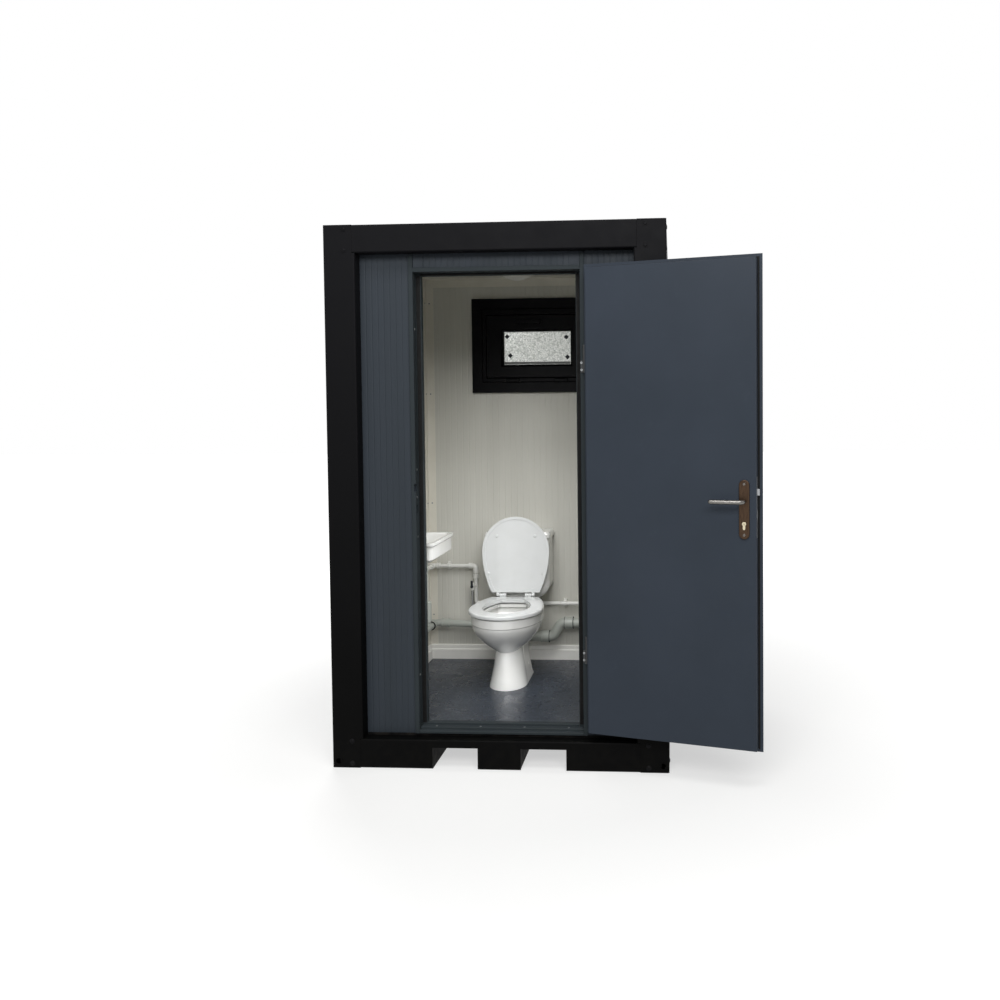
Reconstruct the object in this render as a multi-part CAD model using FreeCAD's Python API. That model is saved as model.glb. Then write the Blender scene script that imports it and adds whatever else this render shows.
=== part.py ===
"""Portable toilet cabin: a bolted steel frame with fork pockets, clad in ribbed sandwich panels,
with a rebated steel door, a tilting window, a close-coupled toilet, a hand basin and their pipes.
Millimetres. The origin is the centre of the base on the ground, +Z is up and the door faces -Y."""

import FreeCAD, Part
import math
import os

vec = FreeCAD.Vector

# Outer frame
WIDTH = 1500.0
DEPTH = 1250.0
HEIGHT = 2400.0
STEEL = 4.0
BEND = 3.0
POST_LEG = 140.0
HEAD_LEG = 127.0
RECESS = 60.0
ROOF_BEAM = 122.0
BASE_BEAM = 130.0
LIP = 12.0
JOINT_GAP = 0.5
BOLT_INSET = 90.0
BOLT_EDGE = 20.0
BOLT_HEAD = 9.0
BOLT_RISE = 2.2
BOLT_SHANK = 5.0
WASHER = 1.0
END_PLATE = 6.0
EYELET_INSET = 28.0
EYELET_HEIGHT = 30.0
EYELET_BORE = 13.0
EYELET_RING = 5.0

# Fork pockets
POCKET_WIDTH = 202.0
POCKET_HEIGHT = 95.0
POCKET_CENTRE = 197.0

# Floor
JOIST_WIDTH = 60.0
JOIST_HEIGHT = 40.0
JOIST_WALL = 3.0
BOARD = 24.0
VINYL = 3.0
SKIRT_HEIGHT = 83.0
SKIRT_DEPTH = 14.0

# Panels
PANEL = 60.0
RIB_DEPTH = 1.0
RIB_GROOVE = 7.0
OUTER_PITCH = 27.0
INNER_PITCH = 34.0
END_CAP = 45.0
CAP_PROUD = 1.0
CEILING = 40.0
ROOF_PITCH = 190.0
ROOF_CROWN = 70.0
ROOF_RISE = 21.0
ROOF_SHEET = 1.5
TRIM_LEG = 45.0
TRIM_SHEET = 2.0

# Door frame, a bent sheet that wraps the panel's edge
CLEAR_WIDTH = 694.0
HEAD_DROP = 212.0
STOP = 23.0
HEAD_STOP = 10.0
CASING = 20.0
CASING_PROUD = 8.0
REBATE = 46.0
FRAME_SHEET = 2.0
EDGE_GAP = 2.0
THRESHOLD_TOP = 174.0
THRESHOLD_STEP = 11.0
THRESHOLD_NOSE = 20.0

# Door leaf
LEAF_GAP = 5.0
LEAF_THICK = 44.0
LIP_THICK = 5.0
LIP_COVER = 20.0
FOOT_COVER = 13.0
LEAF_SHEET = 1.5
LEAF_FOOT = 4.0
GASKET_WIDTH = 7.0
GASKET_GAP = 0.8
GASKET_THICK = 3.6
OPEN_ANGLE = 166.0
HINGE_PROUD = 16.0
HINGE_RADIUS = 8.0
HINGE_PIN = 5.0
HINGE_HALF = 58.0
HINGE_LOW = 526.0
HINGE_DROP = 382.0
HINGE_WING = 3.4
HINGE_REACH = 80.0
RUNNING = 0.05
CLEAR = 0.3

# Lock and handles
BACKSET = 49.0
LEVER_HEIGHT = 1208.0
CYLINDER_DROP = 92.0
PLATE_WIDTH = 43.0
PLATE_LENGTH = 242.0
PLATE_THICK = 8.0
PLATE_DROP = 34.0
NECK_RADIUS = 8.0
NECK_LENGTH = 48.0
GRIP_RADIUS = 9.5
GRIP_LENGTH = 130.0
GRIP_BEND = 16.0
SPINDLE = 8.0
LOCK_DEPTH = 82.0
LOCK_THICK = 16.0
LOCK_LENGTH = 190.0
FACE_WIDTH = 22.0
FACE_LENGTH = 250.0
FACE_THICK = 3.0
LATCH_RISE = 36.0
LATCH_THICK = 10.0
LATCH_HIGH = 26.0
LATCH_THROW = 11.0
BOLT_DROP = 60.0
BOLT_THICK = 12.0
BOLT_HIGH = 34.0
BOLT_THROW = 20.0
BOLT_LENGTH = 52.0
BARREL_RADIUS = 8.5
BARREL_WEB = 10.0
BARREL_HEIGHT = 33.0
BARREL_PROUD = 3.0
PLUG_RADIUS = 6.3

# Window
WINDOW_X = 11.0
WINDOW_WIDTH = 744.0
WINDOW_TALL = 530.0
WINDOW_DROP = 178.0
WINDOW_FLANGE = 30.0
WINDOW_BORDER = 56.0
WINDOW_STEP = 8.0
WINDOW_PROUD = 25.0
WINDOW_OUT = 8.0
SASH_WIDTH = 566.0
SASH_TALL = 346.0
SASH_DROP = 98.0
SASH_GAP = 7.0
SASH_THICK = 58.0
SASH_PROUD = 13.0
PANE_WIDTH = 387.0
PANE_TALL = 193.0
PANE_DROP = 85.0
PANE_THICK = 18.0
PANE_HELD = 8.0
WINDOW_GRIP = 135.0
TILT_IN = 8.0
TILT_UP = 10.0
TILT_PIN = 4.0
TILT_HELD = 6.0

# Toilet
PAN_X = -88.0
PAN_FRONT = -195.0
PAN_LENGTH = 525.0
PAN_RIM = 385.0
RIM_WIDTH = 368.0
RIM_BAND = 42.0
RIM_TAIL = 200.0
WAIST_WIDTH = 126.0
WAIST_HEIGHT = 190.0
WAIST_BACK = 150.0
WAIST_LEDGE = 1.5
WAIST_INTO = 8.0
FOOT_WIDTH = 196.0
FOOT_BACK = 129.0
FOOT_LENGTH = 358.0
SKIRT_WAIST = 132.0
BOWL_MOUTH = 250.0
BOWL_LENGTH = 350.0
BOWL_INSET = 50.0
BOWL_DEPTH = 205.0
UNDERCUT = 22.0
SUMP_WIDTH = 80.0
SUMP_LENGTH = 95.0
SUMP_BACK = 225.0
FIXING_BORE = 7.0
SEAT_LIFT = 9.0
SEAT_WIDTH = 380.0
SEAT_THICK = 18.0
SEAT_HOLE = 245.0
SEAT_HOLE_LENGTH = 322.0
SEAT_TAIL = 262.0
LID_THICK = 14.0
LID_LENGTH = 425.0
LID_WIDTH = 368.0
SEAT_AXIS_BACK = 230.0
SEAT_AXIS_RISE = 34.0
LID_RAISED = 94.0
SEAT_PIN = 5.0
SEAT_KNUCKLE = 9.0
CISTERN_WIDTH = 352.0
CISTERN_TOP = 887.0
CISTERN_CORNER = 85.0
CISTERN_WALL = 10.0
CISTERN_DEPTH = 166.0
CISTERN_LID = 32.0
CISTERN_LID_OVER = 7.0
HOSE_INSET = 63.0
HOSE_RADIUS = 6.5
BUTTON_RADIUS = 24.0
OUTLET_HEIGHT = 190.0
OUTLET_RADIUS = 50.0

# Basin
BASIN_REACH = 248.0
BASIN_LENGTH = 397.0
BASIN_RIM = 950.0
BASIN_DEEP = 98.0
BASIN_Y = -78.5
BASIN_CORNER = 24.0
BASIN_LIP = 14.0
BASIN_APRON = 10.0
BASIN_LEDGE = 62.0
BASIN_RIM_WIDTH = 16.0
TAP_RADIUS = 13.0
TAP_HEIGHT = 62.0
TAP_REACH = 92.0

# Pipes
WATER_RADIUS = 10.5
WATER_HIGH = 709.0
WATER_LOW = 497.0
WATER_X = -351.0
WATER_CLIP = 157.0
CLIP_WIDTH = 16.0
CLIP_HEIGHT = 42.0
VALVE_HEIGHT = 598.0
WASTE_RADIUS = 19.0
WASTE_HEIGHT = 388.0
SOIL_RADIUS = 28.0
SOIL_LOW = 313.0
SOIL_HIGH = 391.0
SOIL_BEND = 40.0
SOIL_RISE_X = 92.0
SOIL_RUN = 44.0
SOCKET_WALL = 6.5
SOCKET_LENGTH = 46.0
STUB_OUT = 45.0
STUB_SHOULDER = 4.0
STUB_TURNED = 1.0
STUB_WALL = 2.0

# Lamp
LAMP_X = -10.0
LAMP_RADIUS = 115.0
LAMP_DEPTH = 92.0

# Levels and planes worked out from the sizes above
FRONT = -DEPTH / 2
SIDE = WIDTH / 2
PANEL_OUT = FRONT + RECESS
PANEL_IN = PANEL_OUT + PANEL
REAR_OUT = -PANEL_OUT
REAR_IN = -PANEL_IN
SIDE_OUT = SIDE - RECESS
SIDE_IN = SIDE_OUT - PANEL
TUNNEL_TOP = POCKET_HEIGHT + STEEL
SILL = TUNNEL_TOP + JOIST_HEIGHT
FLOOR = SILL + BOARD + VINYL
ROOF_TOP = HEIGHT - 1.0
CEILING_UNDER = ROOF_TOP - ROOF_RISE - ROOF_SHEET - CEILING
BEAM_UNDER = HEIGHT - ROOF_BEAM
CLEAR_HALF = CLEAR_WIDTH / 2
CLEAR_HEAD = HEIGHT - HEAD_DROP
REBATE_HALF = CLEAR_HALF + STOP
REBATE_TOP = CLEAR_HEAD + HEAD_STOP
CASING_HALF = REBATE_HALF + CASING
CASING_TOP = REBATE_TOP + CASING
CASING_FACE = PANEL_OUT - CASING_PROUD
STOP_FACE = CASING_FACE + REBATE
FRAME_BACK = PANEL_IN + CASING_PROUD
OPENING_HALF = REBATE_HALF + FRAME_SHEET + EDGE_GAP
OPENING_TOP = REBATE_TOP + FRAME_SHEET + EDGE_GAP
LEAF_HALF = REBATE_HALF - LEAF_GAP
LEAF_TOP = REBATE_TOP - LEAF_GAP
LEAF_BOTTOM = THRESHOLD_TOP + LEAF_FOOT
LIP_BACK = CASING_FACE - GASKET_THICK - 0.4
LIP_FACE = LIP_BACK - LIP_THICK
LEAF_BACK = LIP_BACK + LEAF_THICK
HINGE_X = CASING_HALF
HINGE_Y = CASING_FACE - HINGE_PROUD
HINGE_HEIGHTS = (HINGE_LOW, CLEAR_HEAD - HINGE_DROP)
LEVER_X = -LEAF_HALF + BACKSET
LOCK_Y = (LIP_BACK + LEAF_BACK) / 2
CYLINDER_Z = LEVER_HEIGHT - CYLINDER_DROP
PLATE_Z = LEVER_HEIGHT - PLATE_DROP
WINDOW_HIGH = HEIGHT - WINDOW_DROP
WINDOW_LOW = WINDOW_HIGH - WINDOW_TALL
SASH_HIGH = WINDOW_HIGH - SASH_DROP
SASH_LOW = SASH_HIGH - SASH_TALL
PANE_HIGH = SASH_HIGH - PANE_DROP
PANE_LOW = PANE_HIGH - PANE_TALL
RIM_Z = FLOOR + PAN_RIM
WAIST_Z = FLOOR + WAIST_HEIGHT
SEAT_Z = RIM_Z + SEAT_LIFT
SEAT_AXIS_Y = REAR_IN - SEAT_AXIS_BACK
SEAT_AXIS_Z = RIM_Z + SEAT_AXIS_RISE
CISTERN_BACK = REAR_IN - 5.0
CISTERN_FRONT = CISTERN_BACK - CISTERN_DEPTH
WATER_Y = REAR_IN - 38.0
SOIL_Y = REAR_IN - 56.0
TAP_X = -SIDE_IN + BASIN_LEDGE / 2
WASTE_X = -SIDE_IN + 45.0


def block(x0, x1, y0, y1, z0, z1):
    return Part.makeBox(x1 - x0, y1 - y0, z1 - z0, vec(x0, y0, z0))


def rod(start, direction, radius, length):
    return Part.makeCylinder(radius, length, start, direction)


def fuse(*shapes):
    return shapes[0].multiFuse(list(shapes[1:])).removeSplitter()


def group(solids):
    return Part.makeCompound(list(solids))


def mirrored(shape, across_x=False, across_y=False):
    if across_x:
        shape = shape.mirror(vec(0, 0, 0), vec(1, 0, 0))
    if across_y:
        shape = shape.mirror(vec(0, 0, 0), vec(0, 1, 0))
    return shape


def moved(shape, x, y, z):
    copy = shape.copy()
    copy.translate(vec(x, y, z))
    return copy


def turned(shape, centre, axis, angle):
    copy = shape.copy()
    copy.rotate(centre, axis, angle)
    return copy


def prism(points, direction):
    """A polygon swept straight along a direction."""
    return Part.Face(Part.makePolygon(list(points) + [points[0]])).extrude(direction)


def rounded_edges(points, radii):
    """Lines through the points, with an arc of its own radius at each inner one."""
    edges = []
    start = points[0]
    for before, corner, after, radius in zip(points, points[1:], points[2:], radii):
        inward = (before - corner).normalize()
        outward = (after - corner).normalize()
        half = inward.getAngle(outward) / 2
        reach = radius / math.tan(half)
        first = corner + inward * reach
        last = corner + outward * reach
        bisector = (inward + outward).normalize()
        middle = corner + bisector * (radius / math.sin(half) - radius)
        if (first - start).Length > 1e-6:
            edges.append(Part.LineSegment(start, first).toShape())
        edges.append(Part.Arc(first, middle, last).toShape())
        start = last
    edges.append(Part.LineSegment(start, points[-1]).toShape())
    return edges


def offset_line(points, distance):
    """The line of points shifted to its right, corner by corner."""
    shifted = []
    for index, point in enumerate(points):
        near = []
        if index > 0:
            near.append(unit(points[index - 1], point))
        if index < len(points) - 1:
            near.append(unit(point, points[index + 1]))
        first = (near[0][1], -near[0][0])
        last = (near[-1][1], -near[-1][0])
        scale = distance / (1 + first[0] * last[0] + first[1] * last[1])
        shifted.append((point[0] + scale * (first[0] + last[0]), point[1] + scale * (first[1] + last[1])))
    return shifted


def unit(start, end):
    length = math.hypot(end[0] - start[0], end[1] - start[1])
    return ((end[0] - start[0]) / length, (end[1] - start[1]) / length)


def bent_sheet(points, sheet, place, direction, bend=BEND):
    """A folded sheet: its section follows the points, with the metal on their right."""
    face_radii = []
    back_radii = []
    for before, corner, after in zip(points, points[1:], points[2:]):
        first = unit(before, corner)
        last = unit(corner, after)
        turns_right = first[0] * last[1] - first[1] * last[0] < 0
        face_radii.append(bend + sheet if turns_right else bend)
        back_radii.append(bend if turns_right else bend + sheet)
    face = [place(*point) for point in points]
    back = [place(*point) for point in offset_line(points, sheet)][::-1]
    edges = rounded_edges(face, face_radii)
    edges.append(Part.LineSegment(face[-1], back[0]).toShape())
    edges += rounded_edges(back, back_radii[::-1])
    edges.append(Part.LineSegment(back[-1], face[0]).toShape())
    return Part.Face(Part.Wire(edges)).extrude(direction)


def bar(points, bend, radius, bore=0.0):
    """A round bar or pipe along straight runs joined by arcs."""
    wire = Part.Wire(rounded_edges(points, [bend] * (len(points) - 2)))
    direction = points[1] - points[0]
    solid = swept_circle(wire, points[0], direction, radius)
    if bore:
        solid = solid.cut(swept_circle(wire, points[0], direction, bore))
    return solid


def swept_circle(wire, start, direction, radius):
    circle = Part.Wire(Part.makeCircle(radius, start, direction))
    return wire.makePipeShell([circle], True, False)


def rounded_rectangle(x0, x1, y0, y1, z, radii):
    """A level rectangle whose corners, anticlockwise from low x and low y, have these radii."""
    corners = [vec(x0, y0, z), vec(x1, y0, z), vec(x1, y1, z), vec(x0, y1, z)]
    start = (corners[0] + corners[1]) * 0.5
    path = [start] + corners[1:] + [corners[0], start]
    return Part.Wire(rounded_edges(path, list(radii[1:]) + [radii[0]]))


def egg(width, front, rear, tail, z, widest=0.45, centre=PAN_X):
    """A level egg outline: round at its front, narrowing to a straight tail at its rear."""
    middle = front + (rear - front) * widest
    half = width / 2
    right = []
    for step in range(9):
        angle = math.pi / 2 * step / 8
        right.append((half * math.sin(angle), middle - (middle - front) * math.cos(angle)))
    for step in range(1, 7):
        share = step / 6
        right.append((half - (half - tail / 2) * share ** 2, middle + (rear - middle) * share))
    left = [(-x, y) for x, y in right[:0:-1]]
    curve = Part.BSplineCurve()
    curve.interpolate([vec(centre + x, y, z) for x, y in left + right])
    closing = Part.LineSegment(curve.EndPoint, curve.StartPoint)
    return Part.Wire([curve.toShape(), closing.toShape()])


def loft(wires):
    return Part.makeLoft(wires, True, False)


def corner_post():
    """A bent L post with returns that meet the panels, narrower where the beams butt, and end plates."""
    path = [(POST_LEG, RECESS), (POST_LEG, 0), (0, 0), (0, POST_LEG), (RECESS, POST_LEG)]
    post = bent_sheet(path, STEEL, lambda a, b: vec(a - SIDE, b + FRONT, 0), vec(0, 0, HEIGHT))
    for low, high in ((0, BASE_BEAM), (HEIGHT - ROOF_BEAM, HEIGHT)):
        edge = HEAD_LEG
        far = POST_LEG + 1
        post = post.cut(block(edge - SIDE, far - SIDE, FRONT - 1, FRONT + RECESS + 1, low, high))
        post = post.cut(block(-SIDE - 1, RECESS - SIDE + 1, FRONT + edge, FRONT + far, low, high))
        for z in bolt_levels(low, high):
            front_hole = vec(BOLT_INSET - SIDE, FRONT - 1, z)
            side_hole = vec(-SIDE - 1, FRONT + BOLT_INSET, z)
            post = post.cut(rod(front_hole, vec(0, 1, 0), BOLT_SHANK + CLEAR, STEEL + 2))
            post = post.cut(rod(side_hole, vec(1, 0, 0), BOLT_SHANK + CLEAR, STEEL + 2))
    for z in (0, HEIGHT - END_PLATE):
        inner = STEEL - JOINT_GAP
        top = z + END_PLATE
        post = post.fuse(block(inner - SIDE, HEAD_LEG - SIDE, FRONT + inner, FRONT + RECESS, z, top))
        post = post.fuse(block(inner - SIDE, RECESS - SIDE, FRONT + inner, FRONT + HEAD_LEG, z, top))
    eye = vec(EYELET_INSET - SIDE, FRONT, EYELET_HEIGHT)
    ring = rod(eye - vec(0, 2, 0), vec(0, 1, 0), EYELET_BORE + EYELET_RING, STEEL)
    bore = rod(eye - vec(0, 5, 0), vec(0, 1, 0), EYELET_BORE, STEEL + 10)
    return fuse(post, ring).cut(bore)


def bolt_levels(low, high):
    return (low + BOLT_EDGE, high - 10.0) if low == 0 else (low + 10.0, high - BOLT_EDGE)


def channel(height, low, inner_edge, length):
    """A C beam along X with its web outside, returns on both flanges and a tongue at each end."""
    path = [(RECESS, low + LIP), (RECESS, low), (0, low), (0, low + height), (RECESS, low + height)]
    path.append((RECESS, low + height - LIP))
    start = -length / 2
    beam = bent_sheet(path, STEEL, lambda a, b: vec(start, a + inner_edge, b), vec(length, 0, 0))
    tongue = length / 2 + HEAD_LEG - STEEL - BEND - 25.0
    web = inner_edge + STEEL
    inside = 2 * STEEL
    plate = block(-tongue, tongue, web, web + STEEL, low + inside, low + height - inside)
    for side in (-1, 1):
        for z in bolt_levels(low, low + height):
            hole = vec(side * (length / 2 + HEAD_LEG + JOINT_GAP - BOLT_INSET), web - 1, z)
            plate = plate.cut(rod(hole, vec(0, 1, 0), BOLT_SHANK, STEEL + 2))
    trimmed = plate.cut(block(-length / 2 + 60, length / 2 - 60, web - 1, web + STEEL + 1, low, low + height))
    return fuse(beam, trimmed)


def beam_length(size):
    return size - 2 * (HEAD_LEG + JOINT_GAP)


def front_base_beam():
    """The base beam, open from below for the forks and clear of the tunnels behind its web."""
    beam = channel(BASE_BEAM, 0, FRONT, beam_length(WIDTH))
    half = POCKET_WIDTH / 2
    for centre in (-POCKET_CENTRE, POCKET_CENTRE):
        beam = beam.cut(block(centre - half, centre + half, FRONT - 1, FRONT + RECESS + 1, -1, POCKET_HEIGHT))
    reach = POCKET_CENTRE + half + STEEL + JOINT_GAP
    behind = FRONT + STEEL
    return beam.cut(block(-reach, reach, behind, FRONT + RECESS + 1, -1, TUNNEL_TOP + JOINT_GAP))


def side_beam(height, low):
    """The same channel turned to run along Y on the left side."""
    beam = channel(height, low, -SIDE, beam_length(DEPTH))
    return turned(beam, vec(0, 0, 0), vec(0, 0, 1), -90)


def fork_tunnels():
    """One pressed sheet: two tunnels open downwards and the skid plate between them."""
    outer = POCKET_CENTRE + POCKET_WIDTH / 2 + STEEL
    inner = POCKET_CENTRE - POCKET_WIDTH / 2 - STEEL
    right = [(inner, STEEL), (inner, TUNNEL_TOP), (outer, TUNNEL_TOP), (outer, 0)]
    path = [(-x, z) for x, z in right[::-1]] + right
    start = FRONT + STEEL + JOINT_GAP
    return bent_sheet(path, STEEL, lambda a, b: vec(a, start, b), vec(0, -2 * start, 0))


def hollow_bar(x0, x1, y0, y1, z0, z1, along):
    outer = block(x0, x1, y0, y1, z0, z1)
    wall = JOIST_WALL
    if along == "x":
        return outer.cut(block(x0 - 1, x1 + 1, y0 + wall, y1 - wall, z0 + wall, z1 - wall))
    return outer.cut(block(x0 + wall, x1 - wall, y0 - 1, y1 + 1, z0 + wall, z1 - wall))


def floor_joists():
    """The floor frame: butted tubes under every wall and two under the floor's middle."""
    z0 = TUNNEL_TOP
    z1 = SILL
    reach = SIDE_OUT - CLEAR
    wall = JOIST_WIDTH
    front = PANEL_OUT + CLEAR
    tubes = []
    for y in (front, -front - wall):
        tubes.append(hollow_bar(-reach, reach, y, y + wall, z0, z1, "x"))
    for x in (-reach, reach - wall):
        tubes.append(hollow_bar(x, x + wall, front + wall, -front - wall, z0, z1, "y"))
    span = -2 * (front + wall)
    for share in (1 / 3, 2 / 3):
        y = front + wall + span * share - wall / 2
        tubes.append(hollow_bar(wall - reach, reach - wall, y, y + wall, z0, z1, "x"))
    return group(tubes)


def frame_bolts():
    """Button-headed bolts with washers, two on each face of each corner, top and bottom."""
    bolts = []
    for low, high in ((0, BASE_BEAM), (HEIGHT - ROOF_BEAM, HEIGHT)):
        for z in bolt_levels(low, high):
            front = frame_bolt(vec(BOLT_INSET - SIDE, FRONT, z), vec(0, 1, 0))
            side = frame_bolt(vec(-SIDE, FRONT + BOLT_INSET, z), vec(1, 0, 0))
            for bolt in (front, side):
                for across_x, across_y in ((0, 0), (1, 0), (0, 1), (1, 1)):
                    bolts.append(mirrored(bolt, across_x, across_y))
    return group(bolts)


def frame_bolt(seat, inward):
    washer = rod(seat - inward * WASHER, inward, BOLT_HEAD + 3, WASHER)
    top = seat - inward * (WASHER + BOLT_RISE)
    head = Part.makeCone(BOLT_HEAD - 3, BOLT_HEAD, BOLT_RISE, top, inward)
    shank = rod(seat, inward, BOLT_SHANK, 2 * STEEL + 6)
    return fuse(washer, head, shank)


def ribbed_line(start, end, pitch, depth_sign, level):
    """Points along one panel face, with a shallow groove at every pitch."""
    points = [(start, level)]
    count = int((end - start - RIB_GROOVE) / pitch)
    first = start + ((end - start) - (count - 1) * pitch) / 2
    flank = RIB_GROOVE / 4
    sunk = level + depth_sign * RIB_DEPTH
    for index in range(count):
        middle = first + index * pitch
        points.append((middle - RIB_GROOVE / 2, level))
        points.append((middle - RIB_GROOVE / 2 + flank, sunk))
        points.append((middle + RIB_GROOVE / 2 - flank, sunk))
        points.append((middle + RIB_GROOVE / 2, level))
    points.append((end, level))
    return points


def panel(start, end, low, high, place):
    """A sandwich panel, ribbed on both faces: u runs along it, v from its outer face inwards."""
    outer = ribbed_line(start, end, OUTER_PITCH, 1, 0)
    inner = ribbed_line(start, end, INNER_PITCH, -1, PANEL)[::-1]
    points = [place(u, v, low) for u, v in outer + inner]
    return prism(points, vec(0, 0, high - low))


def front_panel(x0, x1, low, high):
    return panel(x0, x1, low, high, lambda u, v, z: vec(u, PANEL_OUT + v, z))


def left_wall_panel():
    return panel(PANEL_IN, REAR_IN, SILL, CEILING_UNDER, lambda u, v, z: vec(v - SIDE_OUT, u, z))


def right_wall_panel():
    """The right wall, bored where the water and waste pipes pass through it."""
    return mirrored(left_wall_panel(), across_x=True).cut(group(wall_passages(CLEAR)))


def wall_passages(margin):
    """The holes for the supply and soil pipes, wider than the pipes by the margin."""
    pipes = ((WATER_Y, WATER_LOW, WATER_RADIUS), (SOIL_Y, SOIL_HIGH, SOIL_RADIUS))
    start = SIDE_IN - 10
    return [rod(vec(start, y, z), vec(1, 0, 0), radius + margin, PANEL + 20) for y, z, radius in pipes]


def rear_wall_panel():
    """The rear wall with the window's cut-out."""
    wall = panel(-SIDE_OUT, SIDE_OUT, SILL, CEILING_UNDER, lambda u, v, z: vec(u, REAR_OUT - v, z))
    half = WINDOW_WIDTH / 2 - WINDOW_FLANGE
    low = WINDOW_LOW + WINDOW_FLANGE
    high = WINDOW_HIGH - WINDOW_FLANGE
    return wall.cut(block(WINDOW_X - half, WINDOW_X + half, REAR_IN - 1, REAR_OUT + 1, low, high))


def front_left_panel():
    """The panel beside the lock jamb, pocketed behind the strikes."""
    wall = front_panel(-SIDE_OUT, -OPENING_HALF, SILL, CEILING_UNDER)
    return wall.cut(group(strike_cuts(deep=PANEL / 4)))


def front_right_panel():
    return front_panel(OPENING_HALF, SIDE_OUT, SILL, CEILING_UNDER)


def header_panel():
    """The short panel over the door, with a flat cap folded round each of its ends."""
    half = OPENING_HALF - CLEAR
    header = front_panel(-half, half, OPENING_TOP, CEILING_UNDER)
    near = REBATE_HALF - END_CAP
    far = REBATE_HALF - CLEAR
    front = PANEL_OUT - CAP_PROUD
    cap = block(near, far, front, PANEL_OUT + RIB_DEPTH, CASING_TOP + CLEAR, BEAM_UNDER - CLEAR)
    return fuse(header, cap, mirrored(cap, across_x=True))


def roof_sheet():
    """Trapezoidal sheet with its crowns running from front to rear."""
    flank = 24.0
    edge = SIDE_OUT - CLEAR
    crest = ROOF_TOP
    pan_level = ROOF_TOP - ROOF_RISE
    count = int((2 * edge - ROOF_CROWN - 2 * flank) / ROOF_PITCH)
    first = -(count - 1) * ROOF_PITCH / 2
    points = [(-edge, pan_level)]
    for index in range(count):
        middle = first + index * ROOF_PITCH
        points.append((middle - ROOF_CROWN / 2 - flank, pan_level))
        points.append((middle - ROOF_CROWN / 2, crest))
        points.append((middle + ROOF_CROWN / 2, crest))
        points.append((middle + ROOF_CROWN / 2 + flank, pan_level))
    points.append((edge, pan_level))
    start = PANEL_OUT + CLEAR
    place = lambda a, b: vec(a, start, b)
    return bent_sheet(points, ROOF_SHEET, place, vec(0, -2 * start, 0), bend=2.0)


def ceiling_panel():
    half = SIDE_OUT - CLEAR
    deep = -PANEL_OUT - CLEAR
    return block(-half, half, -deep, deep, CEILING_UNDER, CEILING_UNDER + CEILING)


def floor_board():
    half = SIDE_IN - CLEAR
    return block(-half, half, PANEL_IN + CLEAR, REAR_IN - CLEAR, SILL, SILL + BOARD)


def floor_covering():
    half = SIDE_IN - CLEAR
    return block(-half, half, PANEL_IN + CLEAR, REAR_IN - CLEAR, SILL + BOARD, FLOOR)


def skirting():
    """Moulded boards with a stepped top: rear, left, right, and short returns beside the door."""
    rear = skirting_board(-SIDE_IN, SIDE_IN, lambda u, v, z: vec(u, REAR_IN - v, z))
    run = REAR_IN - SKIRT_DEPTH
    left = skirting_board(PANEL_IN, run, lambda u, v, z: vec(v - SIDE_IN, u, z))
    inner = SIDE_IN - SKIRT_DEPTH
    outer = CASING_HALF + JOINT_GAP
    near = skirting_board(-inner, -outer, lambda u, v, z: vec(u, PANEL_IN + v, z))
    return group([rear, left, mirrored(left, across_x=True), near, mirrored(near, across_x=True)])


def skirting_board(start, end, place):
    step = SKIRT_DEPTH * 0.55
    shoulder = SKIRT_HEIGHT * 0.66
    section = [(0, 0), (SKIRT_DEPTH, 0), (SKIRT_DEPTH, shoulder), (step, shoulder + 4)]
    section += [(step, SKIRT_HEIGHT - 5), (step - 4, SKIRT_HEIGHT), (0, SKIRT_HEIGHT)]
    ends = [place(start, v, FLOOR + z) for v, z in section]
    return prism(ends, place(end, 0, 0) - place(start, 0, 0))


def inner_trims():
    """L trims that cover the panel joints: four upright corners and the ceiling's edge."""
    low = FLOOR + SKIRT_HEIGHT
    high = CEILING_UNDER - TRIM_LEG
    path = [(TRIM_LEG, 0), (0, 0), (0, TRIM_LEG)]
    trims = []
    for across_x in (False, True):
        for front in (False, True):
            trim = bent_sheet(path, TRIM_SHEET, lambda a, b: vec(a, b, low), vec(0, 0, high - low), 1.0)
            corner_y = -PANEL_IN
            trim = mirrored(trim, across_y=not front)
            trim.translate(vec(-SIDE_IN, -corner_y if front else corner_y, 0))
            trims.append(mirrored(trim, across_x=across_x))
    trims[-2] = trims[-2].cut(group(wall_passages(margin=1.0)))
    return group(trims + ceiling_trims())


def ceiling_trims():
    """The same section turned flat, around the ceiling."""
    path = [(0, -TRIM_LEG), (0, 0), (TRIM_LEG, 0)]
    length = 2 * SIDE_IN
    place = lambda a, b: vec(-SIDE_IN, REAR_IN - a, CEILING_UNDER + b)
    rear = bent_sheet(path, TRIM_SHEET, place, vec(length, 0, 0), 1.0)
    run = REAR_IN - PANEL_IN - 2 * TRIM_LEG
    place = lambda a, b: vec(-SIDE_IN + a, PANEL_IN + TRIM_LEG, CEILING_UNDER + b)
    left = bent_sheet(path, TRIM_SHEET, place, vec(0, run, 0), 1.0)
    return [rear, mirrored(rear, across_y=True), left, mirrored(left, across_x=True)]


def frame_section(clear, stop):
    """The door frame's fold, from its outer casing over the rebate and stop to the inner casing."""
    rebate = clear + stop
    outer = rebate + CASING
    return [
        (outer, PANEL_OUT),
        (outer, CASING_FACE),
        (rebate, CASING_FACE),
        (rebate, STOP_FACE),
        (clear, STOP_FACE),
        (clear, FRAME_BACK),
        (outer, FRAME_BACK),
        (outer, PANEL_IN),
    ]


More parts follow.
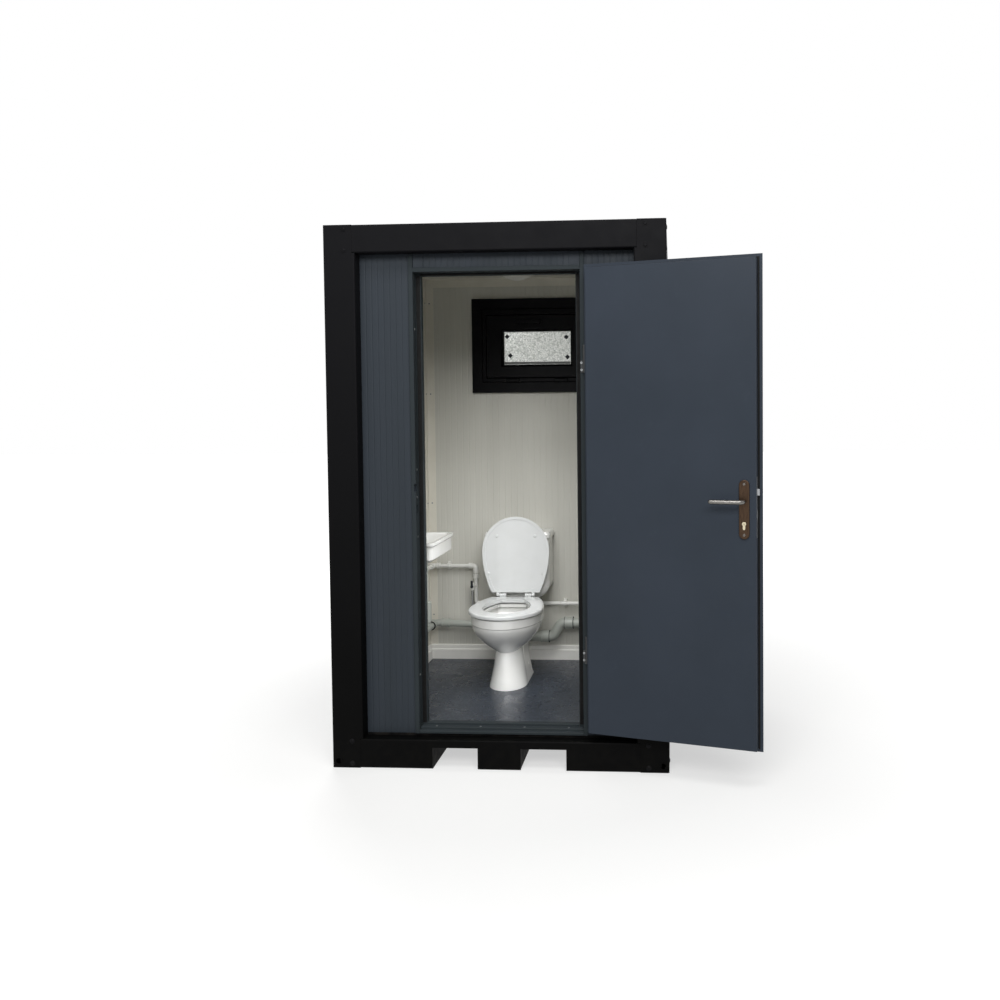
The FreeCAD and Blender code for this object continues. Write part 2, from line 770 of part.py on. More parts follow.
def head_space():
    """What belongs to the frame's head: between the casings, and mitred to the jambs below them."""
    high = CASING_TOP + PANEL
    right = [(CLEAR_HALF - STOP / 10, CLEAR_HEAD - HEAD_STOP / 10), (REBATE_HALF, REBATE_TOP), (REBATE_HALF, high)]
    outline = right + [(-x, z) for x, z in right[::-1]]
    return prism([vec(x, FRONT, z) for x, z in outline], vec(0, 2 * PANEL + RECESS, 0))


def hinge_jamb():
    """The right jamb; its outer casing runs on over the panel joint to the roof beam."""
    place = lambda a, b: vec(a, b, SILL)
    length = BEAM_UNDER - CLEAR - SILL
    jamb = bent_sheet(frame_section(CLEAR_HALF, STOP), FRAME_SHEET, place, vec(0, 0, length), 1.0)
    beyond = CASING_HALF + 1
    jamb = jamb.cut(block(0, beyond, PANEL_IN, FRAME_BACK + 1, SILL - 1, FLOOR + CLEAR))
    jamb = jamb.cut(block(0, beyond, PANEL_OUT, PANEL_IN, REBATE_TOP + FRAME_SHEET, BEAM_UNDER))
    jamb = jamb.cut(block(0, beyond, PANEL_IN, FRAME_BACK + 1, CASING_TOP, BEAM_UNDER))
    return jamb.cut(head_space())


def lock_jamb():
    """The left jamb, with the strike openings for latch and dead bolt."""
    jamb = mirrored(hinge_jamb(), across_x=True)
    for strike in strike_cuts(deep=FRAME_SHEET):
        jamb = jamb.cut(strike)
    return jamb


def strike_cuts(deep):
    """The latch's opening runs out to the front edge, so the latch swings clear; the bolt's is closed."""
    clear = 4.0
    latch_z = LEVER_HEIGHT + LATCH_RISE
    reach = LEAF_HALF + LATCH_THROW + 2.0
    low = latch_z - LATCH_HIGH / 2 - clear
    latch = block(-reach, -CLEAR_HALF - STOP / 2, CASING_FACE - 1, LOCK_Y + 10, low, low + LATCH_HIGH + 2 * clear)
    bolt_z = LEVER_HEIGHT - BOLT_DROP
    far = max(reach, LEAF_HALF + BOLT_THROW + deep / 2)
    half_y = BOLT_THICK / 2 + 2
    half_z = BOLT_HIGH / 2 + 2
    bolt = block(-far, -REBATE_HALF + 1, LOCK_Y - half_y, LOCK_Y + half_y, bolt_z - half_z, bolt_z + half_z)
    return [latch, bolt]


def frame_head():
    """The head, butted between the outer casings and mitred inside the rebate."""
    place = lambda a, b: vec(-CASING_HALF, b, a)
    head = bent_sheet(frame_section(CLEAR_HEAD, HEAD_STOP), FRAME_SHEET, place, vec(2 * CASING_HALF, 0, 0), 1.0)
    return head.common(head_space())


def threshold():
    """A stepped sill between the jambs: nose, step, and the upstand that meets the floor."""
    nose = CASING_FACE - 2
    middle = THRESHOLD_TOP - THRESHOLD_STEP
    section = [
        (PANEL_OUT, SILL),
        (nose, SILL),
        (nose, middle - THRESHOLD_STEP),
        (nose + THRESHOLD_NOSE, middle - THRESHOLD_STEP),
        (nose + THRESHOLD_NOSE, middle),
        (STOP_FACE, middle),
        (STOP_FACE, THRESHOLD_TOP),
        (FRAME_BACK, THRESHOLD_TOP),
        (FRAME_BACK, FLOOR + CLEAR),
    ]
    half = REBATE_HALF - CLEAR
    place = lambda a, b: vec(-half, a, b)
    sill = bent_sheet(section, FRAME_SHEET, place, vec(2 * half, 0, 0), 1.0)
    inner = CLEAR_HALF - CLEAR
    for side in (-1, 1):
        x0, x1 = sorted((side * inner, side * (half + 1)))
        sill = sill.cut(block(x0, x1, STOP_FACE - CLEAR, FRAME_BACK + 1, SILL - 1, THRESHOLD_TOP + 1))
    return sill


def open_door(shape):
    """Turns a piece of the closed door to where it stands at rest, swung open."""
    return turned(shape, vec(HINGE_X, HINGE_Y, 0), vec(0, 0, 1), OPEN_ANGLE)


def outer_leaf():
    """The outer skin: a tray whose hemmed edge is the lip that covers the frame."""
    half = REBATE_HALF + LIP_COVER - LEAF_GAP
    top = LEAF_TOP + LIP_COVER
    tray = block(-half, half, LIP_FACE, LIP_BACK, LEAF_BOTTOM - FOOT_COVER, top)
    edges = [edge for edge in tray.Edges if is_upright(edge) or is_level_x(edge)]
    tray = tray.makeFillet(1.2, [edge for edge in edges if edge.CenterOfMass.y < LIP_FACE + 0.1])
    pocket = LEAF_HALF + CLEAR
    floor = LIP_FACE + LEAF_SHEET
    tray = tray.cut(block(-pocket, pocket, floor, LIP_BACK + 1, LEAF_BOTTOM + LEAF_SHEET, LEAF_TOP + CLEAR))
    plate_cuts = [spindle_hole(), cylinder_shape(CLEAR)]
    return tray.cut(group(plate_cuts))


def is_upright(edge):
    return abs(edge.tangentAt(edge.FirstParameter).z) > 0.99


def is_level_x(edge):
    return abs(edge.tangentAt(edge.FirstParameter).x) > 0.99


def inner_leaf():
    """The inner skin with its core, folded round the edges and cut out for the lock."""
    low = LEAF_BOTTOM + LEAF_SHEET + CLEAR
    front = LIP_FACE + LEAF_SHEET + CLEAR
    leaf = block(-LEAF_HALF, LEAF_HALF, front, LEAF_BACK, low, LEAF_TOP)
    back_edges = [edge for edge in leaf.Edges if edge.CenterOfMass.y > LEAF_BACK - 0.1]
    leaf = leaf.makeFillet(2.0, back_edges)
    case_z = lock_centre()
    half = LOCK_THICK / 2 + CLEAR
    deep = LOCK_DEPTH + CLEAR - LEAF_HALF
    tall = LOCK_LENGTH / 2 + CLEAR
    case = block(-LEAF_HALF - 1, deep, LOCK_Y - half, LOCK_Y + half, case_z - tall, case_z + tall)
    face_half = FACE_WIDTH / 2 + CLEAR
    face_tall = FACE_LENGTH / 2 + CLEAR
    sunk = FACE_THICK - LEAF_HALF
    face = block(-LEAF_HALF - 1, sunk, LOCK_Y - face_half, LOCK_Y + face_half, case_z - face_tall, case_z + face_tall)
    return leaf.cut(group([case])).cut(face).cut(group([spindle_hole(), cylinder_shape(CLEAR)]))


def lock_centre():
    return LEVER_HEIGHT - BOLT_DROP + BOLT_HIGH


def spindle_hole():
    return rod(vec(LEVER_X, FRONT, LEVER_HEIGHT), vec(0, 1, 0), NECK_RADIUS + 2, 2 * PANEL)


def cylinder_shape(grow, proud=BARREL_PROUD + PLATE_THICK + 30.0):
    """The profile cylinder's outline, round above and a flat web below, right through the door."""
    start = LIP_FACE - proud
    length = LEAF_BACK - LIP_FACE + 2 * proud
    barrel = rod(vec(LEVER_X, start, CYLINDER_Z), vec(0, 1, 0), BARREL_RADIUS + grow, length)
    half = BARREL_WEB / 2 + grow
    bottom = CYLINDER_Z + BARREL_RADIUS - BARREL_HEIGHT - grow
    foot = rod(vec(LEVER_X, start, bottom + half), vec(0, 1, 0), half, length)
    web = block(LEVER_X - half, LEVER_X + half, start, start + length, bottom + half, CYLINDER_Z)
    return fuse(barrel, foot, web)


def door_gasket():
    """The seal behind the lip, up both sides and over the top, parted at the hinges."""
    inner = LEAF_HALF + GASKET_GAP
    outer = inner + GASKET_WIDTH
    top = LEAF_TOP + GASKET_GAP + GASKET_WIDTH
    ring = block(-outer, outer, LIP_BACK, LIP_BACK + GASKET_THICK, LEAF_BOTTOM, top)
    gasket = ring.cut(block(-inner, inner, LIP_BACK - 1, CASING_FACE, LEAF_BOTTOM - 1, top - GASKET_WIDTH))
    for z in HINGE_HEIGHTS:
        low = z - HINGE_HALF - 2
        gasket = gasket.cut(block(inner - 1, outer + 1, LIP_BACK - 1, CASING_FACE, low, z + 2))
    return gasket


def frame_hinges():
    """The lower hinge halves, screwed to the casing, each with its pin."""
    pieces = []
    for z in HINGE_HEIGHTS:
        low = z - HINGE_HALF
        barrel = rod(vec(HINGE_X, HINGE_Y, low), vec(0, 0, 1), HINGE_RADIUS, HINGE_HALF)
        leg = block(HINGE_X - 4, HINGE_X + 4, HINGE_Y, CASING_FACE, low, z - 4)
        outer = LEAF_HALF + 7
        wing = block(outer, HINGE_X + 4, CASING_FACE - HINGE_WING, CASING_FACE, low, z - 4)
        bore = rod(vec(HINGE_X, HINGE_Y, low - 1), vec(0, 0, 1), HINGE_PIN, HINGE_HALF + 2)
        pieces.append(fuse(barrel, leg, wing).cut(bore))
        pin = rod(vec(HINGE_X, HINGE_Y, low), vec(0, 0, 1), HINGE_PIN, 2 * HINGE_HALF - 6)
        pieces.append(pin)
    return group(pieces)


def door_hinges():
    """The upper hinge halves with their wings on the leaf's outer face."""
    pieces = []
    for z in HINGE_HEIGHTS:
        low = z + 0.5
        barrel = rod(vec(HINGE_X, HINGE_Y, low), vec(0, 0, 1), HINGE_RADIUS, HINGE_HALF)
        wing_x = LEAF_HALF - HINGE_REACH
        wing = block(wing_x, HINGE_X, LIP_FACE - HINGE_WING, LIP_FACE, low, low + HINGE_HALF)
        half = fuse(barrel, wing)
        bore = rod(vec(HINGE_X, HINGE_Y, low - 1), vec(0, 0, 1), HINGE_PIN + RUNNING, HINGE_HALF - 2)
        pieces.append(open_door(half.cut(bore)))
    return group(pieces)


def lock_case():
    """The mortise case with its face plate, open where latch, bolt, spindle and cylinder pass."""
    z = lock_centre()
    half = LOCK_THICK / 2
    inner = LOCK_DEPTH - LEAF_HALF
    tall = LOCK_LENGTH / 2
    case = block(FACE_THICK - LEAF_HALF, inner, LOCK_Y - half, LOCK_Y + half, z - tall, z + tall)
    face_half = FACE_WIDTH / 2
    face_tall = FACE_LENGTH / 2
    edge = -LEAF_HALF
    face = block(edge, edge + FACE_THICK, LOCK_Y - face_half, LOCK_Y + face_half, z - face_tall, z + face_tall)
    case = fuse(case, face)
    case = case.cut(bolt_channel(LEVER_HEIGHT + LATCH_RISE, LATCH_THICK, LATCH_HIGH, LOCK_DEPTH - 14))
    case = case.cut(bolt_channel(LEVER_HEIGHT - BOLT_DROP, BOLT_THICK, BOLT_HIGH, LOCK_DEPTH - 14))
    return case.cut(group([spindle_hole(), cylinder_shape(CLEAR)]))


def bolt_channel(z, thick, high, deep):
    half_y = thick / 2 + CLEAR
    half_z = high / 2 + CLEAR
    edge = -LEAF_HALF
    return block(edge - 1, edge + deep, LOCK_Y - half_y, LOCK_Y + half_y, z - half_z, z + half_z)


def latch_bolt():
    """The latch, sloped on the side that meets the strike first."""
    z = LEVER_HEIGHT + LATCH_RISE
    half = LATCH_THICK / 2
    tip = -LEAF_HALF - LATCH_THROW
    tail = LOCK_DEPTH - 14 - LATCH_THROW - 2 - LEAF_HALF
    outline = [(tail, -half), (tail, half), (-LEAF_HALF, half), (tip, -half + 1.5), (tip, -half)]
    points = [vec(x, LOCK_Y - y, z - LATCH_HIGH / 2) for x, y in outline]
    return prism(points, vec(0, 0, LATCH_HIGH))


def dead_bolt():
    z = LEVER_HEIGHT - BOLT_DROP
    half = BOLT_THICK / 2
    front = -LEAF_HALF + 0.5
    bolt = block(front, front + BOLT_LENGTH, LOCK_Y - half, LOCK_Y + half, z - BOLT_HIGH / 2, z + BOLT_HIGH / 2)
    ends = [edge for edge in bolt.Edges if edge.CenterOfMass.x < front + 0.1]
    return bolt.makeFillet(1.5, ends)


def backplate(face, outward):
    """A long round-ended plate with its edge eased, holed for the lever's neck and the cylinder."""
    half = PLATE_WIDTH / 2
    reach = PLATE_LENGTH / 2 - half
    depth = vec(0, outward * PLATE_THICK, 0)
    start = vec(LEVER_X, face, PLATE_Z)
    corners = [vec(-half, 0, -half - reach), vec(half, 0, -half - reach)]
    corners += [vec(half, 0, half + reach), vec(-half, 0, half + reach)]
    middle = vec(0, 0, -half - reach)
    path = [start + point for point in [middle] + corners[1:] + [corners[0], middle]]
    plate = Part.Face(Part.Wire(rounded_edges(path, [half - 0.01] * 4))).extrude(depth)
    rim = [edge for edge in plate.Edges if abs(edge.CenterOfMass.y - face - depth.y) < 0.1]
    plate = plate.makeFillet(3.0, rim)
    hole = rod(vec(LEVER_X, face - 40, LEVER_HEIGHT), vec(0, 1, 0), NECK_RADIUS + CLEAR, 80)
    return plate.cut(group([hole])).cut(cylinder_shape(CLEAR))


def backplates():
    outside = backplate(LIP_FACE, -1)
    inside = backplate(LEAF_BACK, 1)
    return group([open_door(outside), open_door(inside)])


def door_levers():
    """Both lever grips on their square spindle, turning together."""
    inside = lever_grip(LEAF_BACK, 1)
    outside = lever_grip(LIP_FACE, -1)
    half = SPINDLE / 2
    z = LEVER_HEIGHT
    spindle = block(LEVER_X - half, LEVER_X + half, LIP_FACE - 12, LEAF_BACK + 12, z - half, z + half)
    return open_door(fuse(inside, outside, spindle))


def lever_grip(face, outward):
    start = vec(LEVER_X, face + outward * 1.0, LEVER_HEIGHT)
    turn = vec(LEVER_X, face + outward * (PLATE_THICK + NECK_LENGTH), LEVER_HEIGHT)
    tip = turn + vec(GRIP_LENGTH, 0, 0)
    neck = rod(start, vec(0, outward, 0), NECK_RADIUS, PLATE_THICK + 4)
    grip = bar([start + vec(0, outward * (PLATE_THICK + 2), 0), turn, tip], GRIP_BEND, GRIP_RADIUS)
    rounded = Part.makeSphere(GRIP_RADIUS, tip)
    return fuse(neck, grip, rounded)


def lock_cylinder():
    """The profile cylinder, bored right through for its plug."""
    proud = PLATE_THICK + BARREL_PROUD
    body = cylinder_shape(0, proud)
    start = vec(LEVER_X, FRONT, CYLINDER_Z)
    bore = rod(start, vec(0, 1, 0), PLUG_RADIUS + RUNNING, 2 * PANEL + RECESS)
    return open_door(body.cut(bore))


def cylinder_plug():
    """The turning plug with its keyways."""
    proud = PLATE_THICK + BARREL_PROUD
    start = LIP_FACE - proud + 0.5
    end = LEAF_BACK + proud - 0.5
    plug = rod(vec(LEVER_X, start, CYLINDER_Z), vec(0, 1, 0), PLUG_RADIUS, end - start)
    for y0, y1 in ((start - 1, start + 22), (end - 22, end + 1)):
        slot = block(LEVER_X - 1, LEVER_X + 1, y0, y1, CYLINDER_Z - PLUG_RADIUS - 1, CYLINDER_Z + 2.5)
        plug = plug.cut(slot)
    return open_door(plug)


def ring_plate(width, low, high, y0, y1, hole_width, hole_low, hole_high):
    """A rectangular frame between two planes."""
    outer = block(-width / 2, width / 2, y0, y1, low, high)
    return outer.cut(block(-hole_width / 2, hole_width / 2, y0 - 1, y1 + 1, hole_low, hole_high))


def window_frame():
    """The fixed frame: inner flange, sleeve through the wall, rebate, outer flange and hinge covers."""
    width = SASH_WIDTH + 2 * SASH_GAP
    low = SASH_LOW - SASH_GAP
    high = SASH_HIGH + SASH_GAP
    inner_face = REAR_IN - WINDOW_PROUD
    step_face = inner_face + WINDOW_STEP
    border = ring_plate(WINDOW_WIDTH, WINDOW_LOW, WINDOW_HIGH, step_face, REAR_IN, width, low, high)
    raised = (WINDOW_WIDTH - 2 * WINDOW_BORDER, WINDOW_LOW + WINDOW_BORDER, WINDOW_HIGH - WINDOW_BORDER)
    flange = ring_plate(*raised, inner_face, REAR_IN, width, low, high)
    room_edges = [edge for edge in flange.Edges if edge.CenterOfMass.y < inner_face + 0.1]
    outer_edges = [edge for edge in room_edges if is_rim(edge, *raised)]
    flange = flange.makeChamfer(WINDOW_STEP - 1, outer_edges)
    sleeve_width = WINDOW_WIDTH - 2 * WINDOW_FLANGE - 2 * CLEAR
    sleeve_low = WINDOW_LOW + WINDOW_FLANGE + CLEAR
    sleeve_high = WINDOW_HIGH - WINDOW_FLANGE - CLEAR
    rebate = inner_face - SASH_PROUD + SASH_THICK + 2
    sleeve = ring_plate(sleeve_width, sleeve_low, sleeve_high, REAR_IN, rebate, width, low, high)
    stop = 17.0
    stop_size = (width - 2 * stop, low + stop, high - stop)
    outer = ring_plate(sleeve_width, sleeve_low, sleeve_high, rebate, REAR_OUT, *stop_size)
    cover = ring_plate(
        WINDOW_WIDTH - 10, WINDOW_LOW + 5, WINDOW_HIGH - 5, REAR_OUT, REAR_OUT + WINDOW_OUT, *stop_size
    )
    hinges = []
    for x in (-137.0, 137.0):
        hinge = block(x - 38, x + 38, inner_face - 10, inner_face, low - 21, low - 1)
        front = [edge for edge in hinge.Edges if edge.CenterOfMass.y < inner_face - 9.9]
        hinges.append(hinge.makeChamfer(4.0, front))
    frame = fuse(border, flange, sleeve, outer, cover, *hinges).cut(tilt_pins(RUNNING, 1.0))
    return moved(frame, WINDOW_X, 0, 0)


def tilt_pins(grow, longer):
    """The two pins low in the sash's sides, or with a margin the bores they turn in."""
    reach = SASH_WIDTH / 2 + SASH_GAP + TILT_HELD + longer
    y = REAR_IN - WINDOW_PROUD + TILT_IN
    pins = []
    for side in (-1, 1):
        start = vec(side * (SASH_WIDTH / 2 - 5), y, SASH_LOW + TILT_UP)
        pins.append(rod(start, vec(side, 0, 0), TILT_PIN + grow, reach - SASH_WIDTH / 2 + 5))
    return group(pins)


def is_rim(edge, width, low, high):
    centre = edge.CenterOfMass
    at_side = abs(abs(centre.x) - width / 2) < 0.1
    at_level = min(abs(centre.z - low), abs(centre.z - high)) < 0.1
    return at_side or at_level


def window_sash():
    """The tilting sash with its bevelled glazing edge, pane groove and handle rosette."""
    face = REAR_IN - WINDOW_PROUD - SASH_PROUD
    back = face + SASH_THICK
    sash = ring_plate(SASH_WIDTH, SASH_LOW, SASH_HIGH, face, back, PANE_WIDTH, PANE_LOW, PANE_HIGH)
    bead = 9.0
    wide = [vec(-PANE_WIDTH / 2 - bead, face - 0.01, PANE_LOW - bead)]
    wide.append(vec(PANE_WIDTH / 2 + bead, face - 0.01, PANE_LOW - bead))
    wide.append(vec(PANE_WIDTH / 2 + bead, face - 0.01, PANE_HIGH + bead))
    wide.append(vec(-PANE_WIDTH / 2 - bead, face - 0.01, PANE_HIGH + bead))
    deep = face + bead
    narrow = [vec(-PANE_WIDTH / 2, deep, PANE_LOW), vec(PANE_WIDTH / 2, deep, PANE_LOW)]
    narrow += [vec(PANE_WIDTH / 2, deep, PANE_HIGH), vec(-PANE_WIDTH / 2, deep, PANE_HIGH)]
    bevel = Part.makeLoft([Part.makePolygon(w + [w[0]]) for w in (wide, narrow)], True, True)
    sash = sash.cut(bevel)
    y0, y1 = pane_planes()
    held = PANE_HELD + CLEAR
    groove = block(
        -PANE_WIDTH / 2 - held, PANE_WIDTH / 2 + held, y0 - CLEAR, y1 + CLEAR, PANE_LOW - held, PANE_HIGH + held
    )
    rosette = rod(vec(*handle_centre()) + vec(0, 2, 0), vec(0, -1, 0), 15.0, 9.0)
    return moved(fuse(sash.cut(groove), rosette, *tilt_pins(0, 0).Solids), WINDOW_X, 0, 0)


def pane_planes():
    middle = REAR_IN - WINDOW_PROUD - SASH_PROUD + SASH_THICK * 0.6
    return middle - PANE_THICK / 2, middle + PANE_THICK / 2


def handle_centre():
    return (14.0, REAR_IN - WINDOW_PROUD - SASH_PROUD, (PANE_HIGH + SASH_HIGH) / 2 + 4.0)


def window_pane():
    y0, y1 = pane_planes()
    half = PANE_WIDTH / 2 + PANE_HELD
    return block(WINDOW_X - half, WINDOW_X + half, y0, y1, PANE_LOW - PANE_HELD, PANE_HIGH + PANE_HELD)


def window_handle():
    """A flat lever on a round neck, lying level while the window is shut."""
    centre = vec(*handle_centre()) + vec(WINDOW_X, 0, 0)
    seat = centre - vec(0, 7 + CLEAR, 0)
    neck = rod(seat, vec(0, -1, 0), 9.0, 16.0)
    y0 = seat.y - 28
    grip = block(centre.x - WINDOW_GRIP, centre.x + 11, y0, y0 + 12, centre.z - 8, centre.z + 8)
    ends = [edge for edge in grip.Edges if abs(edge.tangentAt(edge.FirstParameter).y) > 0.99]
    grip = grip.makeFillet(7.0, ends)
    return fuse(neck, grip)


def toilet_pan():
    """The pan: flared foot, waist, bowl and rim band, the trapway's skirt, the deck and the outlet."""
    deck_low = RIM_Z - 70
    outlet_start = vec(PAN_X, PAN_FRONT + 480, FLOOR + OUTLET_HEIGHT)
    outlet = rod(outlet_start, vec(0, 1, 0), OUTLET_RADIUS, SOIL_Y - 35 - outlet_start.y)
    pan = fuse(pedestal(), bowl_outside(), rim_band(), pan_deck(deck_low), trap_skirt(deck_low + 20), outlet)
    spigot = rod(vec(PAN_X, SOIL_Y - 60, FLOOR + OUTLET_HEIGHT), vec(0, 1, 0), OUTLET_RADIUS - 8, 60)
    return pan.cut(bowl_cavity()).cut(spigot).cut(group(foot_fixings()))


def pedestal():
    """The column under the bowl, flaring from the waist to the foot."""
    sections = []
    for share in (0.0, 0.04, 0.24, 0.5, 0.75, 1.0):
        flare = (1 - share) ** 1.3
        width = WAIST_WIDTH + (FOOT_WIDTH - WAIST_WIDTH) * flare
        front = PAN_FRONT + WAIST_BACK + (FOOT_BACK - WAIST_BACK) * flare
        rear = front + FOOT_LENGTH * 0.75
        sections.append(egg(width, front, rear, width * 0.7, FLOOR + (WAIST_HEIGHT + WAIST_INTO) * share))
    return loft(sections)


def bowl_outside():
    """The bowl's outer skin, springing from the waist with a crease and closing under the rim."""
    sections = []
    for share in (0.0, 0.05, 0.18, 0.36, 0.56, 0.78, 1.0):
        bulge = 1 - (1 - share) ** 1.75
        neck = WAIST_WIDTH + 2 * WAIST_LEDGE
        width = neck + (RIM_WIDTH - 6 - neck) * bulge
        back = WAIST_BACK - WAIST_LEDGE
        front = PAN_FRONT + back + (3 - back) * bulge
        rear = PAN_FRONT + PAN_LENGTH - 3 - 90 * (1 - share)
        tail = RIM_TAIL * (0.5 + 0.45 * share)
        level = WAIST_Z + (PAN_RIM - RIM_BAND - WAIST_HEIGHT) * share
        sections.append(egg(width, front, rear, tail, level))
    return loft(sections)


def rim_band():
    """The upright band round the rim, with its foot eased."""
    low = RIM_Z - RIM_BAND
    rear = PAN_FRONT + PAN_LENGTH
    wires = []
    for inset, z in ((2.5, low), (0, low + 3), (0, RIM_Z)):
        wires.append(egg(RIM_WIDTH - 2 * inset, PAN_FRONT + inset, rear - inset, RIM_TAIL, z))
    return Part.makeLoft(wires, True, True)


def pan_deck(low):
    """The deck behind the seat, which carries the tank."""
    wires = []
    back = CISTERN_BACK - 45.0
    for inset, z in ((45, low), (8, low + 40), (0, RIM_Z)):
        half = 105 - inset
        corners = (20, 20, 20, 20)
        wires.append(
            rounded_rectangle(PAN_X - half, PAN_X + half, PAN_FRONT + 380, back - inset, z, corners)
        )
    return Part.makeLoft(wires, True, True)


def trap_skirt(top):
    """The hollow foot round the trapway, widening to the floor behind the column."""
    wires = []
    foot_end = PAN_FRONT + FOOT_BACK + FOOT_LENGTH
    for share in (0.0, 0.3, 0.58, 1.0):
        wide = FOOT_WIDTH + (SKIRT_WAIST - FOOT_WIDTH) * math.sin(math.pi / 2 * min(1.0, share / 0.58))
        near = PAN_FRONT + 250 + 95 * share
        far = foot_end + 105 * share ** 2
        z = FLOOR + (top - FLOOR) * share
        corners = (30, 30, 40, 40)
        wires.append(rounded_rectangle(PAN_X - wide / 2, PAN_X + wide / 2, near, far, z, corners))
    return Part.makeLoft(wires, True, False)


def foot_fixings():
    """The screw holes on both sides of the foot's rear."""
    holes = []
    for side in (-1, 1):
        for y, z in ((PAN_FRONT + 395, 68.0), (PAN_FRONT + 425, 28.0)):
            start = vec(PAN_X + side * (FOOT_WIDTH / 2 - 28), y, FLOOR + z)
            holes.append(rod(start, vec(side, 0, 0), FIXING_BORE, 40))
    return holes


def bowl_cavity():
    """The inside: a mouth, the rim's undercut, and the bowl that narrows to its sump."""
    mouth_front = PAN_FRONT + BOWL_INSET
    mouth_rear = mouth_front + BOWL_LENGTH
    sump_front = PAN_FRONT + SUMP_BACK
    shelf = RIM_Z - UNDERCUT + 4
    mouth = [egg(BOWL_MOUTH, mouth_front, mouth_rear, BOWL_MOUTH * 0.6, z) for z in (shelf, RIM_Z + 1)]
    wires = []
    for share in (0.0, 0.13, 0.38, 0.62, 0.82, 1.0):
        open_share = 1 - share ** 1.5
        width = SUMP_WIDTH + (BOWL_MOUTH + 2 * UNDERCUT - SUMP_WIDTH) * open_share
        front = sump_front + (mouth_front - UNDERCUT - sump_front) * open_share
        sump_rear = sump_front + SUMP_LENGTH
        rear = sump_rear + (mouth_rear + UNDERCUT - sump_rear) * open_share
        level = shelf + 1 - (BOWL_DEPTH - UNDERCUT + 5) * share
        wires.append(egg(width, front, rear, width * 0.6, level))
    return loft(wires).fuse(Part.makeLoft(mouth, True, True))


def cistern():
    """The tank: open at the top, rounded at its lower corners."""
    x0 = PAN_X - CISTERN_WIDTH / 2
    x1 = PAN_X + CISTERN_WIDTH / 2
    foot = CISTERN_CORNER
    tank = tank_block(x0, x1, CISTERN_FRONT, CISTERN_BACK, RIM_Z + CLEAR, CISTERN_TOP, foot, 22.0)
    wall = CISTERN_WALL
    inside = tank_block(
        x0 + wall, x1 - wall, CISTERN_FRONT + wall, CISTERN_BACK - wall, RIM_Z + 14, CISTERN_TOP + 30, foot - 8, 14.0
    )
    return tank.cut(inside)


def tank_block(x0, x1, y0, y1, z0, z1, foot_radius, edge_radius):
    corners = [vec(x0, y0, z0), vec(x1, y0, z0), vec(x1, y0, z1), vec(x0, y0, z1)]
    start = (corners[0] + corners[1]) * 0.5
    path = [start] + corners[1:] + [corners[0], start]
    outline = Part.Wire(rounded_edges(path, [foot_radius, 1.0, 1.0, foot_radius]))
    tank = Part.Face(outline).extrude(vec(0, y1 - y0, 0))
    front = [edge for edge in tank.Edges if edge.CenterOfMass.y < y0 + 0.1 and edge.CenterOfMass.z < z1 - 2]
    return tank.makeFillet(edge_radius, front)


def cistern_lid():
    """A shallow cover that overhangs the tank, with a rim inside it and the buttons' round well."""
    over = CISTERN_LID_OVER
    x0 = PAN_X - CISTERN_WIDTH / 2 - over
    x1 = PAN_X + CISTERN_WIDTH / 2 + over
    y0 = CISTERN_FRONT - over
    wires = []
    for inset, z in ((0, CISTERN_TOP), (0, CISTERN_TOP + CISTERN_LID - 14), (8, CISTERN_TOP + CISTERN_LID)):
        radii = (26 - inset, 26 - inset, 6, 6)
        back = CISTERN_BACK - inset / 4
        wires.append(rounded_rectangle(x0 + inset, x1 - inset, y0 + inset, back, z, radii))
    lid = Part.makeLoft(wires, True, True)
    inset = over + CISTERN_WALL + 1.5
    rim_out = (x0 + inset, x1 - inset, y0 + inset, CISTERN_BACK - CISTERN_WALL - 1.5)
    rim = rounded_rectangle(*rim_out, CISTERN_TOP - 8, (12, 12, 5, 5))
    rim = Part.Face(rim).extrude(vec(0, 0, 9))
    wall = 7.0
    hollow = (rim_out[0] + wall, rim_out[1] - wall, rim_out[2] + wall, rim_out[3] - wall)
    cavity = rounded_rectangle(*hollow, CISTERN_TOP - 10, (8, 8, 3, 3))
    cavity = Part.Face(cavity).extrude(vec(0, 0, CISTERN_LID - 2))
    well = rod(button_centre(-60), vec(0, 0, 1), BUTTON_RADIUS + CLEAR, 100)
    collar = rod(button_centre(-16), vec(0, 0, 1), BUTTON_RADIUS + 5, 17.5)
    return fuse(fuse(lid, rim).cut(cavity), collar).cut(well)


def button_centre(offset):
    return vec(PAN_X, (CISTERN_FRONT + CISTERN_BACK) / 2, CISTERN_TOP + CISTERN_LID + offset)


def flush_button(side, share):
    """One part of the split button; the full flush has the larger share."""
    disc = rod(button_centre(-12), vec(0, 0, 1), BUTTON_RADIUS, 13)
    rim = [edge for edge in disc.Edges if edge.CenterOfMass.z > CISTERN_TOP + CISTERN_LID + 0.9]
    disc = disc.makeFillet(1.5, rim)
    split = PAN_X + (share - 0.5) * 2 * BUTTON_RADIUS
    far = split + side * 3 * BUTTON_RADIUS
    x0, x1 = sorted((split + side * CLEAR / 2, far))
    deep = (CISTERN_FRONT, CISTERN_BACK)
    return disc.common(block(x0, x1, deep[0], deep[1], CISTERN_TOP, CISTERN_TOP + CISTERN_LID + 10))


